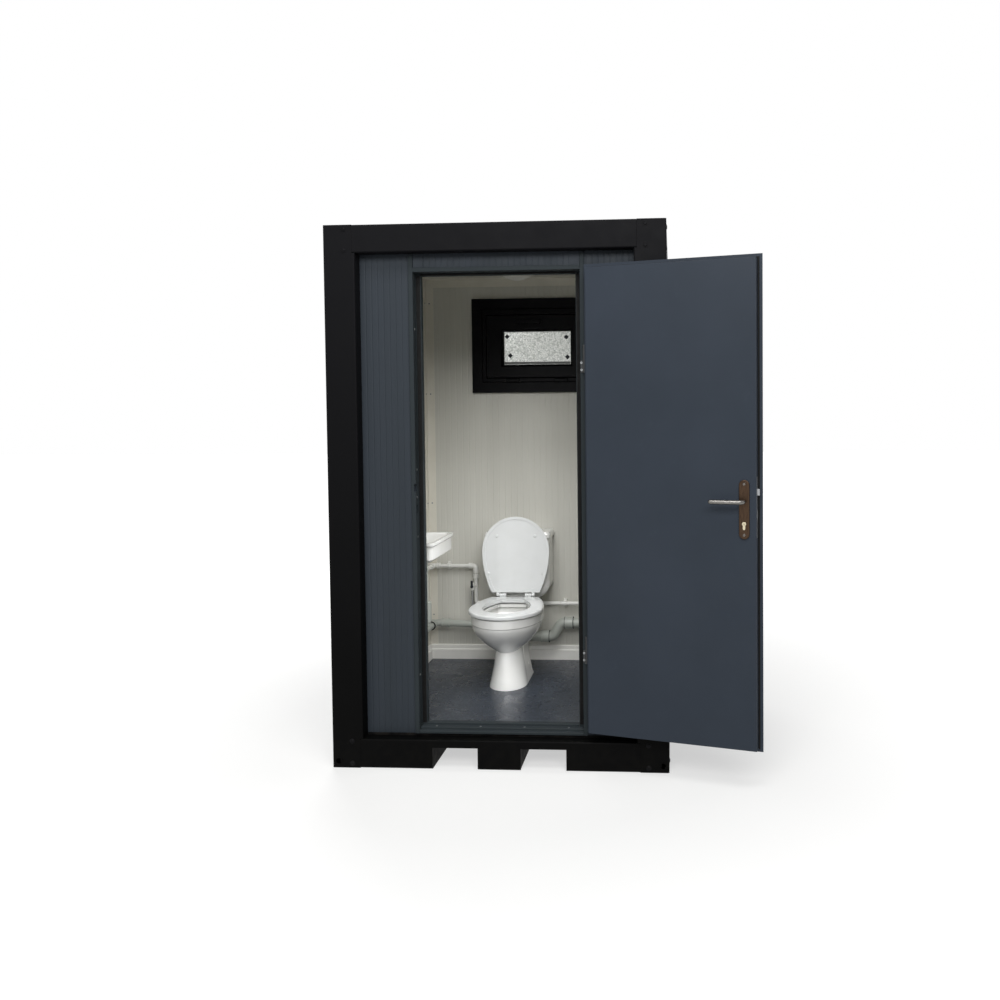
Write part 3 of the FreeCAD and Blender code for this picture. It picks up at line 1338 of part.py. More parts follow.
def seat_hinges():
    """Two posts on the deck, each carrying a pin for the ring and the lid."""
    posts = []
    for side in (-1, 1):
        base = vec(PAN_X + side * 78, SEAT_AXIS_Y, RIM_Z)
        disc = rod(base, vec(0, 0, 1), 17.0, 6.0)
        stem = block(base.x - 8, base.x + 8, base.y - 8, base.y + 8, RIM_Z, SEAT_AXIS_Z)
        knuckle = rod(vec(base.x - 8, base.y, SEAT_AXIS_Z), vec(1, 0, 0), 8.0, 16)
        pin = rod(vec(base.x - 26, base.y, SEAT_AXIS_Z), vec(1, 0, 0), SEAT_PIN, 52)
        posts.append(fuse(disc, stem, knuckle, pin))
    return group(posts)


def seat_knuckles(offsets, low, high, joint):
    """Bored knuckles on the hinge axis, with the web that joins each to the board."""
    pieces = []
    for offset in offsets:
        x = PAN_X + offset
        knuckle = rod(vec(x - 8, SEAT_AXIS_Y, SEAT_AXIS_Z), vec(1, 0, 0), SEAT_KNUCKLE, 16)
        web = block(x - 8, x + 8, joint, SEAT_AXIS_Y, low, high)
        pieces.append(fuse(knuckle, web))
    return pieces


def seat_bores(shape):
    reach = SEAT_WIDTH
    axle = rod(vec(PAN_X - reach / 2, SEAT_AXIS_Y, SEAT_AXIS_Z), vec(1, 0, 0), SEAT_PIN + RUNNING, reach)
    return shape.cut(axle)


def seat_ring():
    """The ring, rounded over, on four buffers, with inner knuckles at its tail."""
    front = PAN_FRONT - 4
    rear = SEAT_AXIS_Y - 16
    outer = Part.Face(egg(SEAT_WIDTH, front, rear, SEAT_TAIL, SEAT_Z)).extrude(vec(0, 0, SEAT_THICK))
    top = [edge for edge in outer.Edges if edge.CenterOfMass.z > SEAT_Z + SEAT_THICK - 0.1]
    outer = outer.makeFillet(8.0, top)
    hole_front = front + (SEAT_WIDTH - SEAT_HOLE) / 2 + 6
    hole_rear = hole_front + SEAT_HOLE_LENGTH
    hole = Part.Face(egg(SEAT_HOLE, hole_front, hole_rear, 120, SEAT_Z - 1)).extrude(vec(0, 0, 40))
    ring = outer.cut(hole)
    pieces = seat_knuckles((-60 + CLEAR, 60 - CLEAR), SEAT_Z + 2, SEAT_Z + SEAT_THICK, rear - 20)
    bumpers = []
    for x, y in ((-140, front + 130), (140, front + 130), (-120, front + 330), (120, front + 330)):
        seat = vec(PAN_X + x, y, RIM_Z + CLEAR)
        bumpers.append(rod(seat, vec(0, 0, 1), 9.0, SEAT_LIFT + 2))
    return seat_bores(fuse(ring, *pieces, *bumpers))


def seat_lid():
    """The domed lid, made shut over the ring and then raised against the tank."""
    rear = SEAT_AXIS_Y - 14
    front = rear - LID_LENGTH + 14
    base = SEAT_Z + SEAT_THICK + 2
    lid = Part.Face(egg(LID_WIDTH, front, rear, SEAT_TAIL, base)).extrude(vec(0, 0, LID_THICK))
    top = [edge for edge in lid.Edges if edge.CenterOfMass.z > base + LID_THICK - 0.1]
    lid = lid.makeFillet(9.0, top)
    dish = Part.Face(egg(LID_WIDTH - 30, front + 15, rear - 12, SEAT_TAIL - 30, base - 1)).extrude(vec(0, 0, 5))
    lid = lid.cut(dish)
    pieces = seat_knuckles((-96 - CLEAR, 96 + CLEAR), base, base + 8, rear - 20)
    shut = seat_bores(fuse(lid, *pieces))
    return turned(shut, vec(0, SEAT_AXIS_Y, SEAT_AXIS_Z), vec(-1, 0, 0), LID_RAISED)


def basin():
    """A small wall basin: moulded bowl, flat ledge for the tap, and a waste hole."""
    wall = -SIDE_IN + CLEAR
    low_y = BASIN_Y - BASIN_LENGTH / 2
    high_y = BASIN_Y + BASIN_LENGTH / 2
    reach = wall + BASIN_REACH
    shell = []
    foot = BASIN_RIM - BASIN_DEEP
    under = BASIN_RIM - BASIN_LIP
    apron = BASIN_APRON
    for inset, z in ((apron + 16, foot), (apron, foot + 14), (apron, under - apron), (0, under), (0, BASIN_RIM)):
        radii = (4, BASIN_CORNER - inset / 2, BASIN_CORNER - inset / 2, 4)
        shell.append(rounded_rectangle(wall, reach - inset, low_y + inset, high_y - inset, z, radii))
    body = Part.makeLoft(shell, True, True)
    rim = BASIN_RIM_WIDTH
    bowl = []
    for inset, z in ((38, BASIN_RIM - 80), (9, BASIN_RIM - 62), (0, BASIN_RIM + 1)):
        radii = (30 - inset / 3, 34 - inset / 3, 34 - inset / 3, 30 - inset / 3)
        x0 = wall + BASIN_LEDGE + inset
        bowl.append(
            rounded_rectangle(x0, reach - rim - inset, low_y + rim + inset, high_y - rim - inset, z, radii)
        )
    body = body.cut(Part.makeLoft(bowl, True, True))
    waste = rod(vec(*waste_centre(), BASIN_RIM - BASIN_DEEP - 1), vec(0, 0, 1), 16.0, BASIN_DEEP)
    tap = rod(vec(TAP_X, BASIN_Y, BASIN_RIM - BASIN_DEEP - 1), vec(0, 0, 1), 11.0, BASIN_DEEP + 2)
    return body.cut(group([waste])).cut(tap)


def waste_centre():
    bowl_low = -SIDE_IN + BASIN_LEDGE
    bowl_high = -SIDE_IN + BASIN_REACH - BASIN_RIM_WIDTH
    return ((bowl_low + bowl_high) / 2, BASIN_Y)


def tap_body():
    """The pillar tap with its tail below the ledge and its spout over the bowl."""
    foot = vec(TAP_X, BASIN_Y, BASIN_RIM + CLEAR)
    pillar = rod(foot, vec(0, 0, 1), TAP_RADIUS, TAP_HEIGHT)
    flange = rod(foot, vec(0, 0, 1), TAP_RADIUS + 8, 5)
    tail_low = BASIN_RIM - BASIN_DEEP - 12
    tail = rod(vec(TAP_X, BASIN_Y, tail_low), vec(0, 0, 1), 9.0, BASIN_RIM - tail_low + 2)
    level = foot + vec(0, 0, TAP_HEIGHT - 22)
    end = level + vec(TAP_REACH, 0, 0)
    spout = bar([level, end, end - vec(0, 0, 26)], 16.0, 8.5)
    mouth = rod(end - vec(0, 0, 27), vec(0, 0, 1), 6.5, 14)
    return fuse(pillar, flange, tail, spout).cut(mouth)


def tap_lever():
    """The quarter-turn cap and blade on top of the tap."""
    base = vec(TAP_X, BASIN_Y, BASIN_RIM + 2 * CLEAR + TAP_HEIGHT)
    cap = Part.makeCone(TAP_RADIUS, TAP_RADIUS - 3, 16, base, vec(0, 0, 1))
    blade = block(base.x, base.x + 62, base.y - 6, base.y + 6, base.z + 8, base.z + 15)
    tip = rod(base + vec(62, 0, 8), vec(0, 0, 1), 6.0, 7.0)
    return fuse(cap, blade, tip)


def socket(centre, direction, radius, length=SOCKET_LENGTH):
    """A pipe fitting's collar with a raised mouth ring at each end."""
    start = centre - direction * (length / 2)
    collar = rod(start, direction, radius + SOCKET_WALL * 0.6, length)
    near = rod(start, direction, radius + SOCKET_WALL, 7.0)
    far = rod(start + direction * (length - 7), direction, radius + SOCKET_WALL, 7.0)
    return fuse(collar, near, far)


def basin_waste():
    """The bottle trap, the drop to the wall and the run along the rear wall to the soil bend."""
    x, y = waste_centre()
    top = BASIN_RIM - BASIN_DEEP - CLEAR
    outlet_z = 598.0
    tail = rod(vec(x, y, outlet_z - 20), vec(0, 0, 1), 15.0, top - outlet_z + 20)
    nut = rod(vec(x, y, top - 26), vec(0, 0, 1), 26.0, 26)
    bottle = rod(vec(x, y, outlet_z - 75), vec(0, 0, 1), 30.0, 100)
    cap = rod(vec(x, y, outlet_z - 95), vec(0, 0, 1), 24.0, 21)
    trap = fuse(tail, nut, bottle, cap)
    corner_y = SOIL_Y
    end_x = PAN_X - OUTLET_RADIUS - SOCKET_WALL - CLEAR
    fall = 20.0
    route = [vec(x, y, outlet_z), vec(WASTE_X, y, outlet_z), vec(WASTE_X, y, WASTE_HEIGHT)]
    route += [vec(WASTE_X, corner_y, WASTE_HEIGHT), vec(end_x, corner_y, WASTE_HEIGHT - fall)]
    pipe = bar(route, 34.0, WASTE_RADIUS)
    sockets = [
        socket(vec(WASTE_X, y + 62, WASTE_HEIGHT), vec(0, 1, 0), WASTE_RADIUS),
        socket(vec(WASTE_X, corner_y - 60, WASTE_HEIGHT), vec(0, 1, 0), WASTE_RADIUS),
        socket(vec(WASTE_X + 62, corner_y, WASTE_HEIGHT - 2.5), vec(1, 0, -0.04).normalize(), WASTE_RADIUS),
        socket(vec(WASTE_X, y, outlet_z - 58), vec(0, 0, 1), WASTE_RADIUS),
    ]
    return fuse(trap, pipe, *sockets)


def soil_bend():
    """The pan connector and the S-bend that rises to the right wall and passes through it."""
    z = FLOOR + OUTLET_HEIGHT
    drum_start = SOIL_Y - 35 + CLEAR
    drum = rod(vec(PAN_X, drum_start, z), vec(0, 1, 0), OUTLET_RADIUS + SOCKET_WALL, REAR_IN - 6 - drum_start)
    low = vec(PAN_X, SOIL_Y, SOIL_LOW)
    first = SOIL_RISE_X
    second = first + SOIL_RUN
    route = [low, vec(first, SOIL_Y, SOIL_LOW), vec(second, SOIL_Y, SOIL_HIGH)]
    route.append(vec(SIDE_OUT + STUB_OUT, SOIL_Y, SOIL_HIGH))
    pipe = bar(route, SOIL_BEND, SOIL_RADIUS)
    pipe = spigot(pipe, SOIL_Y, SOIL_HIGH, SOIL_RADIUS)
    across = vec(1, 0, 0)
    sockets = [
        socket(vec(first - SOCKET_LENGTH, SOIL_Y, SOIL_LOW), across, SOIL_RADIUS),
        socket(vec(second + SOCKET_LENGTH, SOIL_Y, SOIL_HIGH), across, SOIL_RADIUS),
    ]
    return fuse(drum, pipe, *sockets)


def spigot(pipe, y, z, radius):
    """Turns a pipe down where it stands out of the right wall, and bores its end."""
    start = vec(SIDE_OUT + STUB_SHOULDER, y, z)
    along = vec(1, 0, 0)
    sleeve = rod(start, along, radius + 1, STUB_OUT)
    sleeve = sleeve.cut(rod(start, along, radius - STUB_TURNED, STUB_OUT))
    bore = rod(start - along * 20, along, radius - STUB_TURNED - STUB_WALL, STUB_OUT + 21)
    return pipe.cut(sleeve).cut(bore)


def water_pipes():
    """The supply from the right wall, the riser with its stop valve, and the run to the tap."""
    right = vec(SIDE_OUT + STUB_OUT, WATER_Y, WATER_LOW)
    turn = 16.0
    supply = [right, vec(WATER_X, WATER_Y, WATER_LOW), vec(WATER_X, WATER_Y, WATER_HIGH)]
    supply += [vec(TAP_X, WATER_Y, WATER_HIGH), vec(TAP_X, BASIN_Y, WATER_HIGH)]
    supply.append(vec(TAP_X, BASIN_Y, BASIN_RIM - BASIN_DEEP - 12 - CLEAR))
    pipe = bar(supply, turn, WATER_RADIUS)
    pipe = spigot(pipe, WATER_Y, WATER_LOW, WATER_RADIUS)
    elbows = []
    for corner, direction in (
        (vec(WATER_X, WATER_Y, WATER_HIGH - 30), vec(0, 0, 1)),
        (vec(WATER_X - 30, WATER_Y, WATER_HIGH), vec(1, 0, 0)),
        (vec(TAP_X + 32, WATER_Y, WATER_HIGH), vec(1, 0, 0)),
        (vec(TAP_X, WATER_Y - 32, WATER_HIGH), vec(0, 1, 0)),
        (vec(WATER_X, WATER_Y, VALVE_HEIGHT + 52), vec(0, 0, 1)),
    ):
        elbows.append(socket(corner, direction, WATER_RADIUS, 20.0))
    for corner, first, last in (
        (vec(WATER_X, WATER_Y, WATER_HIGH), vec(-1, 0, 0), vec(0, 0, -1)),
        (vec(TAP_X, WATER_Y, WATER_HIGH), vec(1, 0, 0), vec(0, -1, 0)),
    ):
        elbows.append(bar([corner + first * 26, corner, corner + last * 26], turn, WATER_RADIUS + 3.5))
    tee = valve_front()
    branch_base = vec(WATER_X, WATER_Y, VALVE_HEIGHT)
    branch = rod(branch_base, tee - branch_base, 8.0, (tee - branch_base).Length)
    body = rod(tee - vec(0, 0, 22), vec(0, 0, 1), 11.0, 40)
    clips = [pipe_clip(WATER_X - WATER_CLIP, WATER_HIGH), pipe_clip(WATER_CLIP, WATER_LOW)]
    return fuse(pipe, branch, body, *elbows, *clips)


def pipe_clip(x, z):
    """A saddle clip on the rear wall, rounded where it grips the pipe."""
    half = CLIP_WIDTH / 2
    grip = WATER_RADIUS + 3
    foot = block(x - half, x + half, WATER_Y + grip, REAR_IN - CLEAR, z - CLIP_HEIGHT / 2, z + CLIP_HEIGHT / 2)
    neck = block(x - half, x + half, WATER_Y, WATER_Y + grip + 1, z - grip, z + grip)
    return fuse(foot, neck, rod(vec(x - half, WATER_Y, z), vec(1, 0, 0), grip, CLIP_WIDTH))


def valve_front():
    """The stop valve's centre, beside and before the riser."""
    return vec(WATER_X - 14, WATER_Y - 30, VALVE_HEIGHT)


def valve_lever():
    """The stop valve's small lever, turning on the valve's front."""
    centre = valve_front() - vec(0, 11 + CLEAR, 0)
    boss = rod(centre, vec(0, -1, 0), 8.0, 9.0)
    blade = block(centre.x - 6, centre.x + 6, centre.y - 9, centre.y - 4, centre.z - 6, centre.z + 34)
    return fuse(boss, blade)


def cistern_hose():
    """The braided hose from the stop valve down and round to the tank's inlet."""
    start = valve_front() - vec(0, 0, 22 + CLEAR)
    beside = CISTERN_CORNER - HOSE_INSET - HOSE_RADIUS
    rise = CISTERN_CORNER - math.sqrt(CISTERN_CORNER ** 2 - beside ** 2)
    inlet = vec(PAN_X - CISTERN_WIDTH / 2 + HOSE_INSET, CISTERN_BACK - 60, RIM_Z + CLEAR + rise)
    low = 470.0
    route = [start, vec(start.x, start.y, low), vec(inlet.x, inlet.y, low), inlet - vec(0, 0, CLEAR)]
    return bar(route, 28.0, HOSE_RADIUS)


def ceiling_lamp():
    """The bulkhead lamp: a base plate on the ceiling and a domed diffuser."""
    base = vec(LAMP_X, 0, CEILING_UNDER)
    plate = rod(base - vec(0, 0, 26), vec(0, 0, 1), LAMP_RADIUS, 26 - CLEAR)
    dome_height = LAMP_DEPTH - 26
    radius = LAMP_RADIUS - 8
    sphere_radius = (radius ** 2 + dome_height ** 2) / (2 * dome_height)
    centre = base - vec(0, 0, 26 + dome_height - sphere_radius)
    dome = Part.makeSphere(sphere_radius, centre)
    cap = rod(base - vec(0, 0, LAMP_DEPTH + 1), vec(0, 0, 1), radius, dome_height + 1 - CLEAR)
    return group([plate, dome.common(cap)])


def frame_parts():
    left_front = corner_post()
    roof_front = channel(ROOF_BEAM, HEIGHT - ROOF_BEAM, FRONT, beam_length(WIDTH))
    base_front = front_base_beam()
    roof_left = side_beam(ROOF_BEAM, HEIGHT - ROOF_BEAM)
    base_left = side_beam(BASE_BEAM, 0)
    return {
        "post_front_left": left_front,
        "post_front_right": mirrored(left_front, across_x=True),
        "post_rear_left": mirrored(left_front, across_y=True),
        "post_rear_right": mirrored(left_front, across_x=True, across_y=True),
        "roof_beams_long": group([roof_front, mirrored(roof_front, across_y=True)]),
        "roof_beams_side": group([roof_left, mirrored(roof_left, across_x=True)]),
        "base_beams_long": group([base_front, mirrored(base_front, across_y=True)]),
        "base_beams_side": group([base_left, mirrored(base_left, across_x=True)]),
        "fork_tunnels": fork_tunnels(),
        "floor_joists": floor_joists(),
        "frame_bolts": frame_bolts(),
    }


def shell_parts():
    return {
        "roof_sheet": roof_sheet(),
        "ceiling_panel": ceiling_panel(),
        "floor_board": floor_board(),
        "floor_covering": floor_covering(),
        "skirting": skirting(),
        "inner_trims": inner_trims(),
        "wall_front_left": front_left_panel(),
        "wall_front_right": front_right_panel(),
        "wall_front_header": header_panel(),
        "wall_left": left_wall_panel(),
        "wall_right": right_wall_panel(),
        "wall_rear": rear_wall_panel(),
    }


def door_parts():
    return {
        "door_frame_lock_jamb": lock_jamb(),
        "door_frame_hinge_jamb": hinge_jamb(),
        "door_frame_head": frame_head(),
        "door_threshold": threshold(),
        "door_outer_leaf": open_door(outer_leaf()),
        "door_inner_leaf": open_door(inner_leaf()),
        "door_gasket": open_door(door_gasket()),
        "hinges_frame_side": frame_hinges(),
        "hinges_door_side": door_hinges(),
        "lock_case": open_door(lock_case()),
        "latch_bolt": open_door(latch_bolt()),
        "dead_bolt": open_door(dead_bolt()),
        "backplates": backplates(),
        "door_levers": door_levers(),
        "lock_cylinder": lock_cylinder(),
        "cylinder_plug": cylinder_plug(),
    }


def fitting_parts():
    full_share = 0.42
    return {
        "window_frame": window_frame(),
        "window_sash": window_sash(),
        "window_pane": window_pane(),
        "window_handle": window_handle(),
        "toilet_pan": toilet_pan(),
        "cistern": cistern(),
        "cistern_lid": cistern_lid(),
        "flush_button_full": flush_button(1, full_share),
        "flush_button_half": flush_button(-1, full_share),
        "seat_hinges": seat_hinges(),
        "seat_ring": seat_ring(),
        "seat_lid": seat_lid(),
        "basin": basin(),
        "tap_body": tap_body(),
        "tap_lever": tap_lever(),
        "basin_waste": basin_waste(),
        "soil_bend": soil_bend(),
        "water_pipes": water_pipes(),
        "valve_lever": valve_lever(),
        "cistern_hose": cistern_hose(),
        "ceiling_lamp": ceiling_lamp(),
    }


def main():
    os.makedirs("parts", exist_ok=True)
    for parts in (frame_parts(), shell_parts(), door_parts(), fitting_parts()):
        for name, shape in parts.items():
            shape.exportStep(f"parts/{name}.step")


main()
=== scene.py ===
"""Looks of the portable toilet cabin: coated steel, wall panels, glazed ceramic, plastics, small fittings."""

import math

import bmesh
import bpy
from mathutils import Matrix, Vector


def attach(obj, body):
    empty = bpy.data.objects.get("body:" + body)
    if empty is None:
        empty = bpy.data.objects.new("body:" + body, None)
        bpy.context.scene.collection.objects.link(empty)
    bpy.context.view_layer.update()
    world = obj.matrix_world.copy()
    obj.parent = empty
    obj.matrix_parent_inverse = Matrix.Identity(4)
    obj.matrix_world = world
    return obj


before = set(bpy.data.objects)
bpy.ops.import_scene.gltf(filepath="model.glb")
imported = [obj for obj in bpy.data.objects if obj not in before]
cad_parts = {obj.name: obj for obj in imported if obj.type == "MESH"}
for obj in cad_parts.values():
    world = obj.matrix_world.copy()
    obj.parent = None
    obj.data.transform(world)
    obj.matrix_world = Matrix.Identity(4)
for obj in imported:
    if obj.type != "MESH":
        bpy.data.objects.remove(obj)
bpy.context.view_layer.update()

# The photograph's camera: place, yaw, pitch, roll, focal length and principal point in pixels
CAMERA_PLACE = (0.774, -4.269, 1.566)
CAMERA_YAW = 3.434
CAMERA_PITCH = -1.98
CAMERA_ROLL = -0.44
FOCAL_PIXELS = 846.9
PRINCIPAL_X = 622.4
PRINCIPAL_Y = 443.3
PICTURE_PIXELS = 1000.0
SENSOR_MM = 36.0

# Planes of the cabin in metres, as the solids have them
WALL_MIDDLE_X = 0.660
WALL_MIDDLE_Y = 0.535
SHEET_IN_X = 0.630
SHEET_IN_Y = 0.505
REBATE_X = 0.370
STOP_FACE = -0.527
TRIM_LEVELS = (0.42, 1.064, 1.688, 2.202)
TRIM_LINE = 0.022
TRIM_THICK = 0.002
ROOF_VALLEY = 2.378
TREAD_Y = -0.541
TREAD_TOP = 0.163

# Lines and faces of the door's metalwork and seals in metres, the leaf's as it stands closed
JAMB_SCREW_Y = -0.550
FRAME_WING_X = 0.376
FRAME_WING_FACE = -0.5764
LEAF_WING_FACE = -0.5854
PIN_MIDDLES = (0.526, 1.806)
PIN_HALF = 0.0585
PLATE_X = -0.316
PLATE_OUTER_FACE = -0.590
PLATE_INNER_FACE = -0.525
SEAL_X = 0.359
SEAL_MIDDLE = 1.180
HEAD_SEAL = 2.193

# Middles and faces of the fittings in metres
PAN_X = -0.088
PAN_FOOT_HALF = 0.071
BOWL_Y = 0.062
WATER_LEVEL = 0.378
SEAT_UNDER = 0.5602
LID_UNDER = 0.5841
TANK_Y = 0.417
TANK_TOP = 0.9205
BASIN_X = -0.483
BASIN_Y = -0.0785
BASIN_FLOOR = 0.870
OVERFLOW_X = -0.5635
OVERFLOW_Z = 0.918
NUT_Z = 0.8387
WASTE_X = -0.585
WASTE_Z = 0.388
SOIL_Y = 0.449
PANE_X = 0.011
PANE_Z = 1.9425
PANE_FOOT = 1.8585
PANE_FRONT = 0.4928
PANE_REAR = 0.5108
LAMP_PLATE = (-0.010, 0.0, 2.3105)

# The open door's hinge line and angle, and the raised lid's
HINGE_LINE = (0.390, -0.589, 0.0)
DOOR_ANGLE = 166.0
SEAT_LINE = (-0.088, 0.275, 0.585)
LID_ANGLE = 94.0

NOISE = "ShaderNodeTexNoise"
RANGE = "ShaderNodeMapRange"
MIX = "ShaderNodeMix"
MATH = "ShaderNodeMath"
SPLIT = "ShaderNodeSeparateXYZ"
STRETCH = "ShaderNodeMapping"
CELLS = "ShaderNodeTexVoronoi"


def linear(code):
    """An sRGB hex colour as linear red, green, blue and alpha."""
    channels = [int(code[start:start + 2], 16) / 255 for start in (1, 3, 5)]
    values = [c / 12.92 if c <= 0.04045 else ((c + 0.055) / 1.055) ** 2.4 for c in channels]
    return (*values, 1.0)


def add(tree, kind, settings=None, links=None):
    """Adds one node with its settings, and links nodes or sockets into its inputs."""
    node = tree.nodes.new(kind)
    for key, value in (settings or {}).items():
        if isinstance(key, int) or key in node.inputs:
            node.inputs[key].default_value = value
        else:
            setattr(node, key, value)
    for key, source in (links or {}).items():
        if isinstance(source, bpy.types.Node):
            source = [socket for socket in source.outputs if socket.enabled][0]
        tree.links.new(source, node.inputs[key])
    return node


def per_metre(size_mm):
    """How often a pattern of this size repeats in a metre."""
    return 1000.0 / size_mm


def finish(name, colour, roughness, **sockets):
    """A new material with constant values on its shader, and the object's own coordinates."""
    material = bpy.data.materials.new(name)
    material.use_nodes = True
    tree = material.node_tree
    shader = tree.nodes["Principled BSDF"]
    shader.inputs["Base Color"].default_value = linear(colour)
    shader.inputs["Roughness"].default_value = roughness
    for socket, value in sockets.items():
        shader.inputs[socket.replace("_", " ")].default_value = value
    place = add(tree, "ShaderNodeTexCoord").outputs["Object"]
    return material, tree, shader, place


def wire(tree, shader, tone=None, gloss=None, height=None, depth_mm=0.05, edge_mm=0.0):
    """Joins a finish to its shader: colour, roughness, and relief over edges rounded by a small radius."""
    if tone:
        tree.links.new(tone.outputs[2], shader.inputs["Base Color"])
    if gloss:
        tree.links.new(gloss.outputs[0], shader.inputs["Roughness"])
    if height:
        depth = {"Distance": depth_mm / 1000, "Strength": 1.0}
        relief = add(tree, "ShaderNodeBump", depth, {"Height": height})
        if edge_mm:
            rounded = add(tree, "ShaderNodeBevel", {"Radius": edge_mm / 1000, "samples": 4})
            tree.links.new(rounded.outputs["Normal"], relief.inputs["Normal"])
        tree.links.new(relief.outputs["Normal"], shader.inputs["Normal"])


def powder_coat(name, colour, worn, roughness=0.42, dust=0.0, edge_mm=1.5, painted_top_light=None, **sockets):
    """Powder coat on folded steel: satin, uneven in gloss, dusty low down, and optionally painted lighter
    towards the roof as painted light from above.
    """
    material, tree, shader, place = finish(name, colour, roughness, **sockets)
    cloud = add(tree, NOISE, {"Scale": per_metre(240), "Detail": 4.0}, {"Vector": place})
    share = add(tree, RANGE, {"From Min": 0.3, "From Max": 0.75, "To Max": 0.5}, {"Value": cloud})
    tone = add(tree, MIX, {"data_type": "RGBA", 6: linear(colour), 7: linear(worn)}, {0: share})
    level = add(tree, SPLIT, links={"Vector": place}).outputs["Z"]
    # Painted light: where asked, the tone turns lighter with height, standing in for light falling from above
    if painted_top_light:
        painted_top_light_share = add(tree, RANGE, {"From Min": 0.4, "From Max": 2.3}, {"Value": level})
        tone = add(tree, MIX, {"data_type": "RGBA", 7: linear(painted_top_light)}, {0: painted_top_light_share, 6: tone})
    low = add(tree, RANGE, {"From Min": 0.22, "From Max": 0.0, "To Max": dust}, {"Value": level})
    grains = add(tree, NOISE, {"Scale": per_metre(45), "Detail": 5.0}, {"Vector": place})
    patchy = add(tree, RANGE, {"From Min": 0.4, "From Max": 0.75}, {"Value": grains})
    dusty = add(tree, MATH, {"operation": "MULTIPLY"}, {0: low, 1: patchy})
    tone = add(tree, MIX, {"data_type": "RGBA", 7: linear("#57534C")}, {0: dusty, 6: tone})
    sheen = add(tree, NOISE, {"Scale": per_metre(60), "Detail": 3.0}, {"Vector": place})
    spread = {"From Min": 0.3, "From Max": 0.7, "To Min": roughness - 0.06, "To Max": roughness + 0.08}
    gloss = add(tree, RANGE, spread, {"Value": sheen})
    # Orange peel of about 2 mm is drawn at 7 mm, the finest that the picture shows
    peel = add(tree, NOISE, {"Scale": per_metre(7), "Detail": 1.0}, {"Vector": place})
    wire(tree, shader, tone, gloss, peel, 0.05, edge_mm)
    return material


def wall_sheet():
    """Coil-coated sandwich panel: anthracite outside, grey-white inside, both with faint upright streaks."""
    name = "coil_coated_steel_sandwich_panel"
    material, tree, shader, place = finish(name, "#32383E", 0.5, Specular_IOR_Level=0.16)
    axes = add(tree, SPLIT, links={"Vector": place})
    reach = []
    for axis, middle in (("X", WALL_MIDDLE_X), ("Y", WALL_MIDDLE_Y)):
        size = add(tree, MATH, {"operation": "ABSOLUTE"}, {0: axes.outputs[axis]})
        band = {"From Min": middle + 0.002, "From Max": middle - 0.002}
        reach.append(add(tree, RANGE, band, {"Value": size}))
    inside = add(tree, MATH, {"operation": "MULTIPLY"}, {0: reach[0], 1: reach[1]})
    stretched = add(tree, STRETCH, {"Scale": (1, 1, 0.06)}, {"Vector": place})
    streaks = add(tree, NOISE, {"Scale": per_metre(110), "Detail": 2.0}, {"Vector": stretched})
    share = add(tree, RANGE, {"From Min": 0.3, "From Max": 0.7}, {"Value": streaks})
    outer = add(tree, MIX, {"data_type": "RGBA", 6: linear("#30363C"), 7: linear("#353B42")}, {0: share})
    inner = add(tree, MIX, {"data_type": "RGBA", 6: linear("#CFCEC6"), 7: linear("#D6D5CD")}, {0: share})
    marks = add(tree, NOISE, {"Scale": per_metre(190), "Detail": 5.0, "Roughness": 0.6}, {"Vector": place})
    scuffs = add(tree, RANGE, {"From Min": 0.58, "From Max": 0.8, "To Max": 0.16}, {"Value": marks})
    low = add(tree, RANGE, {"From Min": 0.9, "From Max": 0.2}, {"Value": axes.outputs["Z"]})
    worn = add(tree, MATH, {"operation": "MULTIPLY"}, {0: scuffs, 1: low})
    inner = add(tree, MIX, {"data_type": "RGBA", 7: linear("#A9A69A")}, {0: worn, 6: inner})
    tone = add(tree, MIX, {"data_type": "RGBA"}, {0: inside, 6: outer, 7: inner})
    sheen = add(tree, NOISE, {"Scale": per_metre(70)}, {"Vector": place})
    spread = {"From Min": 0.3, "From Max": 0.7, "To Min": 0.42, "To Max": 0.55}
    gloss = add(tree, RANGE, spread, {"Value": sheen})
    # Rolled sheet is never quite flat: long shallow waves up the panel
    long = add(tree, STRETCH, {"Scale": (1, 1, 0.25)}, {"Vector": place})
    waves = add(tree, NOISE, {"Scale": per_metre(260), "Detail": 1.0}, {"Vector": long})
    wire(tree, shader, tone, gloss, waves, 0.3, 0.8)
    return material


def door_sheet():
    """Smooth coated door skin: flat colour, soft reflections that bend over a slight quilting."""
    name = "smooth_coated_door_steel"
    material, tree, shader, place = finish(name, "#333A43", 0.4, Specular_IOR_Level=0.14)
    cloud = add(tree, NOISE, {"Scale": per_metre(420), "Detail": 3.0}, {"Vector": place})
    share = add(tree, RANGE, {"From Min": 0.3, "From Max": 0.7}, {"Value": cloud})
    tone = add(tree, MIX, {"data_type": "RGBA", 6: linear("#313841"), 7: linear("#363D47")}, {0: share})
    prints = add(tree, NOISE, {"Scale": per_metre(55), "Detail": 6.0, "Roughness": 0.7}, {"Vector": place})
    hand = add(tree, RANGE, {"From Min": 0.6, "From Max": 0.8, "To Max": 0.25}, {"Value": prints})
    tone = add(tree, MIX, {"data_type": "RGBA", 7: linear("#414852")}, {0: hand, 6: tone})
    sheen = add(tree, NOISE, {"Scale": per_metre(110), "Detail": 4.0}, {"Vector": place})
    spread = {"From Min": 0.3, "From Max": 0.7, "To Min": 0.34, "To Max": 0.46}
    gloss = add(tree, RANGE, spread, {"Value": sheen})
    waves = add(tree, NOISE, {"Scale": per_metre(330), "Detail": 1.0}, {"Vector": place})
    wire(tree, shader, tone, gloss, waves, 0.6, 1.2)
    return material


